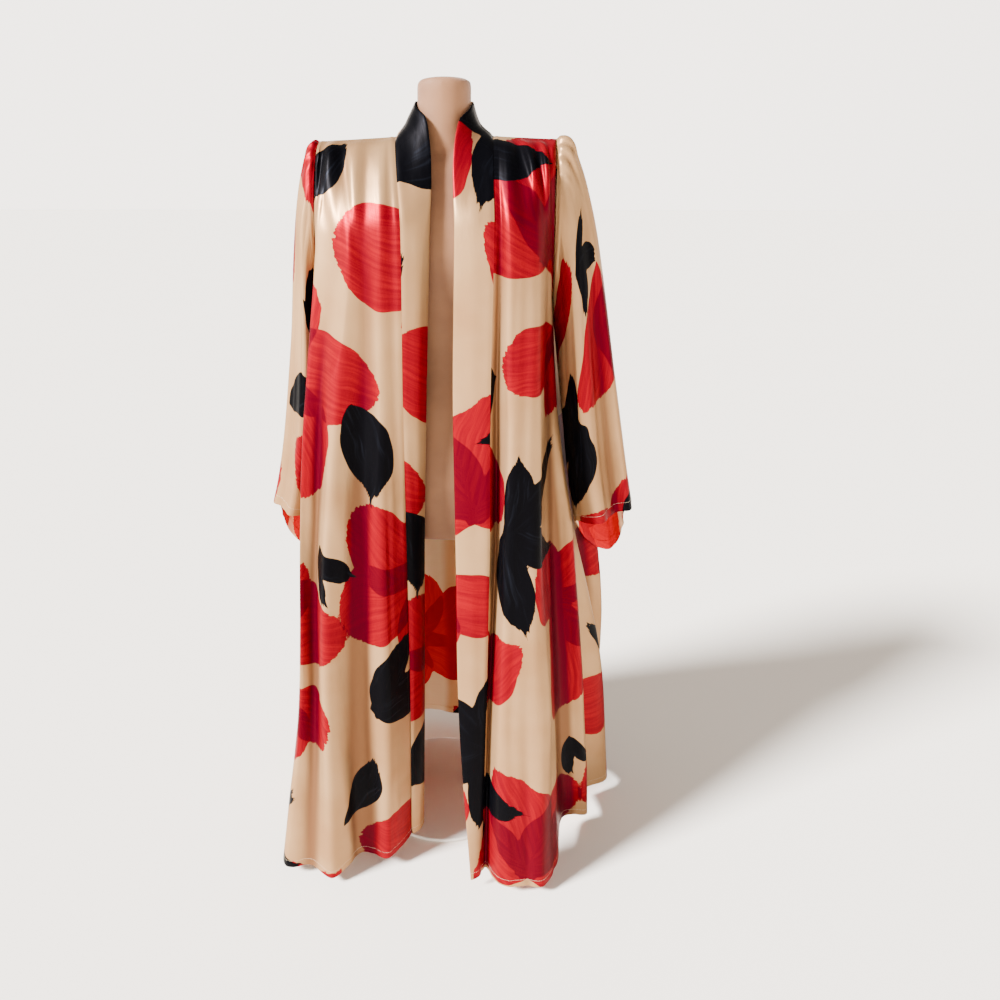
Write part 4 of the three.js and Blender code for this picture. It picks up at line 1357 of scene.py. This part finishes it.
SATIN_EDGE = colour(150, 138, 126)  # threads seen edge on hold back their gloss
THREADS = (1 / (0.4 * MM), 1 / (1.6 * MM), 1.0)  # satin floats are four times longer than wide
BRISTLES = {"across": 1 / (7 * MM), "along": 1.4}
BARE_BRISTLES = 0.58  # streaks darker than this leave cloth bare where the brush runs dry
DRY_TIP = (0.68, 1.0, 0.05, 1.0)  # from and to these shares of a stroke, it runs this dry
PETAL_FRAY, LEAF_FRAY = 34 * MM, 50 * MM
SLUBS = (700.0, 45.0, 1.0)
HANDLE = (38.0, 9.0, 1.0)  # the soft unevenness that a hand feels
TWO_TONES = (0.35, 0.7)
GROUND_FOLD_SHADE = (0.15, -0.85)  # painted shade: the fold depths from which and by which the cream is painted darker
# painted shade: the fold depths from which and by which the red is painted darker
RED_FOLD_SHADE = (0.1, -0.8, 0.0, 0.85)
TWICE_INKED = (-1 * MM, 1.5 * MM, 0.0, 0.7)
DRY_LEAF = (0.52, 0.8, 0.0, 0.7)
INK_EDGE = 0.5 * MM


def brushed_ink(finish, field, along, side, fray):
    """Where ink covers the cloth: dry bristle marks fray it at the tip of each stroke."""
    bristles = finish.node("ShaderNodeCombineXYZ", {
        "X": finish.math("MULTIPLY", side, BRISTLES["across"]),
        "Y": finish.math("MULTIPLY", along, BRISTLES["along"]),
    })
    streaks = finish.noise(bristles["Vector"], 1.0, 4.0, 0.65)
    dryness = finish.ramp(along, *DRY_TIP)
    worn = finish.math("MULTIPLY", finish.math("SUBTRACT", streaks, BARE_BRISTLES), dryness)
    reach = finish.math("MULTIPLY_ADD", worn, fray, field)
    return finish.ramp(reach, -INK_EDGE, INK_EDGE), streaks


def satin(name, ink_colours, roughness, metallic, specular):
    """Printed satin, cream with brushed crimson blooms under black sprigs, with painted shade that darkens the
    cream and the red in the hollows of its folds.
    """
    material, finish = new_material(name)
    flat = finish.flat_cloth()
    crimson_field, black_field, depth = finish.attribute("print_and_fold_shade")
    petal_along, petal_side, overlap = finish.attribute("petal_brush")
    leaf_along, leaf_side, _ = finish.attribute("leaf_brush")
    crimson, petal_streaks = brushed_ink(finish, crimson_field, petal_along, petal_side, PETAL_FRAY)
    black, leaf_streaks = brushed_ink(finish, black_field, leaf_along, leaf_side, LEAF_FRAY)
    cloudy = finish.noise(flat, 6.0, 3.0)
    ground = finish.mix(finish.ramp(cloudy, *TWO_TONES), ink_colours["fair"], ink_colours["worn"])
    # painted shade: the cream turns darker and warmer in the hollows of the folds
    ground = finish.mix(finish.ramp(depth, *GROUND_FOLD_SHADE), ground, ink_colours["fold_shade"])
    red = finish.mix(finish.ramp(petal_streaks, *TWO_TONES), ink_colours["full"], ink_colours["bright"])
    # the overlap of two petals is printed darker, and painted shade darkens the red in the hollows of folds
    twice = finish.ramp(overlap, *TWICE_INKED)
    red_fold_shade = finish.ramp(depth, *RED_FOLD_SHADE)
    red = finish.mix(finish.math("MAXIMUM", twice, red_fold_shade), red, ink_colours["dark"])
    ink = finish.mix(finish.ramp(leaf_streaks, *DRY_LEAF), ink_colours["ink"], ink_colours["dry"])
    printed = finish.mix(black, finish.mix(crimson, ground, red), ink)
    slubs = finish.noise(finish.stretched(flat, SLUBS), 1.0, 2.0)
    weave = finish.noise(finish.stretched(flat, THREADS), 1.0, 1.0)
    handle = finish.noise(finish.stretched(flat, HANDLE), 1.0, 3.0)
    finish.surface({
        "Base Color": printed,
        "Roughness": finish.ramp(slubs, 0.3, 0.7, roughness - 0.04, roughness + 0.05),
        "Metallic": metallic,
        "Specular IOR Level": specular,
        "Specular Tint": SATIN_EDGE,
        "Anisotropic": 0.3,
        "Normal": finish.bump(handle, 1.4 * MM, 0.5, Normal=finish.bump(weave, 0.04 * MM, 0.4)),
    })
    return material


def thread_finish():
    material, finish = new_material("cotton_thread")
    shade = finish.noise(finish.place(), 400.0)
    finish.surface({
        "Base Color": finish.mix(shade, colour(232, 216, 184), colour(206, 184, 148)),
        "Roughness": 0.6,
    })
    return material


def jersey_cover():
    """The form's cover: beige stretch jersey, faintly ribbed and a little uneven."""
    material, finish = new_material("form_jersey")
    place = finish.place()
    cloudy = finish.noise(place, 9.0, 4.0)
    knit = finish.noise(finish.stretched(place, (900.0, 900.0, 500.0)), 1.0, 2.0)
    finish.surface({
        "Base Color": finish.mix(finish.ramp(cloudy, 0.3, 0.7), colour(132, 90, 58), colour(112, 73, 46)),
        "Roughness": finish.ramp(knit, 0.3, 0.7, 0.62, 0.74),
        "Sheen Weight": 0.2,
        "Specular IOR Level": 0.35,
        "Normal": finish.bump(knit, 0.12 * MM, 0.4),
    })
    return material


def painted_steel():
    material, finish = new_material("painted_steel")
    place = finish.place()
    peel = finish.noise(place, 320.0, 2.0)
    scuffs = finish.noise(finish.stretched(place, (30.0, 30.0, 6.0)), 1.0, 5.0, 0.65)
    worn = finish.ramp(scuffs, 0.62, 0.78, 0.0, 0.5)
    finish.surface({
        "Base Color": finish.mix(worn, colour(226, 221, 212), colour(206, 200, 190)),
        "Roughness": finish.ramp(scuffs, 0.35, 0.7, 0.38, 0.52),
        "Coat Weight": 0.15,
        "Normal": finish.bump(peel, 0.15 * MM, 0.25),
    })
    return material


# ---- make the jacket, the form and the stand ----

place_of = {row["name"]: row for row in PRINT_PLACES}
satin_face = satin("printed_satin", FACE_COLOURS, roughness=0.38, metallic=0.45, specular=0.08)
# the reverse carries the lighter colours, painted light for light coming through the satin
satin_reverse = satin("satin_reverse", REVERSE_COLOURS_PAINTED_LIGHT, roughness=0.5, metallic=0.0, specular=0.08)
thread = thread_finish()

made = {
    "front_panel_left": make_panel("left_front_satin", FRONT_LEFT_FOLDS, -1, -1, FRONT_LEFT_CREASES,
                                   place_of["front left"], 0),
    "front_panel_right": make_panel("right_front_satin", FRONT_RIGHT_FOLDS, -1, 1, FRONT_RIGHT_CREASES,
                                    place_of["front right"], 0),
    "back_panel": make_panel("back_satin", BACK_FOLDS, 1, -1, BACK_CREASES, place_of["back"], MIDDLE_FOLD),
    "sleeve_left": make_sleeve("left_sleeve_satin", 1, CUFF_LEFT, 1, SLEEVE_LEFT_CREASES,
                               place_of["sleeve left"]),
    "sleeve_right": make_sleeve("right_sleeve_satin", -1, CUFF_RIGHT, -1, SLEEVE_RIGHT_CREASES,
                                place_of["sleeve right"]),
    "neckband_left": make_band("left_neckband_satin", FRONT_LEFT_FOLDS, BAND_LEFT_EDGE, -1, BAND_CREASES,
                               place_of["band left"]),
    "neckband_right": make_band("right_neckband_satin", FRONT_RIGHT_FOLDS, BAND_RIGHT_EDGE, 1, BAND_CREASES,
                                place_of["band right"]),
}

stitching, stitch_sizes = stitch_tree(thread)
for node, result in made.items():
    piece = result["piece"]
    piece.data.materials.append(satin_face)
    piece.data.materials.append(satin_reverse)
    stitches = stitch_row(piece.name.replace("_satin", "_hem_stitches"), result, stitching, stitch_sizes)
    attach(piece, "root")
    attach(stitches, "root")
    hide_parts(node)

form = make_form("dress_form_skin", jersey_cover())
steel = painted_steel()
base = turned("stand_base_painted", BASE_PROFILE, (0, 0), steel)
pole_profile = [(0, POLE["foot"]), (POLE["radius"], POLE["foot"]), (POLE["radius"], POLE["top"]), (0, POLE["top"])]
pole = turned("stand_pole_painted", pole_profile, (POLE["x"], POLE["y"]), steel)
collar = turned("stand_pole_collar", COLLAR_PROFILE, (POLE["x"], POLE["y"]), steel, open_middle=True)
for piece, slot_name in ((form, "form"), (base, "stand"), (pole, "stand"), (collar, "stand")):
    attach(piece, "root")
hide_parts("form_torso")
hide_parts("stand_base")
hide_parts("stand_pole")

# ---- floor, lights and camera ----

FLOOR_REACH = 120.0
FLOOR_Z = -0.5 * MM


def pale_floor():
    """A plain pale floor that runs out of sight."""
    corners = [(x * FLOOR_REACH, y * FLOOR_REACH, FLOOR_Z) for x, y in ((-1, -1), (1, -1), (1, 1), (-1, 1))]
    floor = shaped("pale_floor", corners, [(0, 1, 2, 3)])
    material, finish = new_material("floor_paint")
    cloudy = finish.noise(finish.place(), 1.2)
    finish.surface({
        "Base Color": finish.mix(cloudy, colour(252, 244, 233), colour(250, 241, 229)),
        "Roughness": 0.8,
        "Specular IOR Level": 0.1,
    })
    floor.data.materials.append(material)


ROOM = {
    "walls": 4.4, "ceiling": 0.4, "wall_top": 0.24, "ceiling_from": 0.46,
    "bright_side": (-0.86, 0.5, 0.0), "dim_side": 0.72, "turns": (-0.9, 0.3),
}


def pale_room():
    """Pale walls all round, as bright as the lit floor, under a dim ceiling."""
    world = bpy.data.worlds.new("pale_room")
    world.use_nodes = True
    light = Finish(world.node_tree)
    direction = light.place("Generated")
    height = light.ramp(
        light.apart(direction)["Z"], ROOM["wall_top"], ROOM["ceiling_from"], ROOM["walls"], ROOM["ceiling"]
    )
    side = light.node("ShaderNodeVectorMath", {0: direction, 1: ROOM["bright_side"]}, operation="DOT_PRODUCT")
    share = light.ramp(side["Value"], *ROOM["turns"], ROOM["dim_side"], 1.0, "LINEAR")
    background = light.nodes["Background"].inputs
    light.put(background["Color"], colour(255, 246, 237))
    light.put(background["Strength"], light.math("MULTIPLY", height, share))
    bpy.context.scene.world = world


def daylight(name, place, strength, softness, tint):
    """Even light from a window far away, whose shadows are soft by so many degrees."""
    light = bpy.data.lights.new(name, "SUN")
    light.energy = strength
    light.angle = math.radians(softness)
    light.color = tint
    lamp = placed(name, light)
    lamp.location = place
    lamp.rotation_euler = (-Vector(place)).to_track_quat("-Z", "Y").to_euler()


pale_floor()
pale_room()
daylight("window_light", (-3.4, -1.9, 2.9), 19.0, 12, (0.98, 0.985, 1.0))

# the camera stands close and looks down a little, from just off the front
VIEW = {"turn": 5, "distance": 1.415, "height": 1.325, "tilt": 22, "lens": 26.7, "shift": 0.056}
turn = math.radians(VIEW["turn"])
camera_data = bpy.data.cameras.new("front_view")
camera_data.lens = VIEW["lens"]
camera_data.sensor_width = 36
camera_data.sensor_fit = "HORIZONTAL"
camera_data.shift_x = VIEW["shift"]
camera = placed("front_view", camera_data)
camera.location = (VIEW["distance"] * math.sin(turn), -VIEW["distance"] * math.cos(turn), VIEW["height"])
camera.rotation_euler = (math.radians(90 - VIEW["tilt"]), 0, turn)
bpy.context.scene.camera = camera
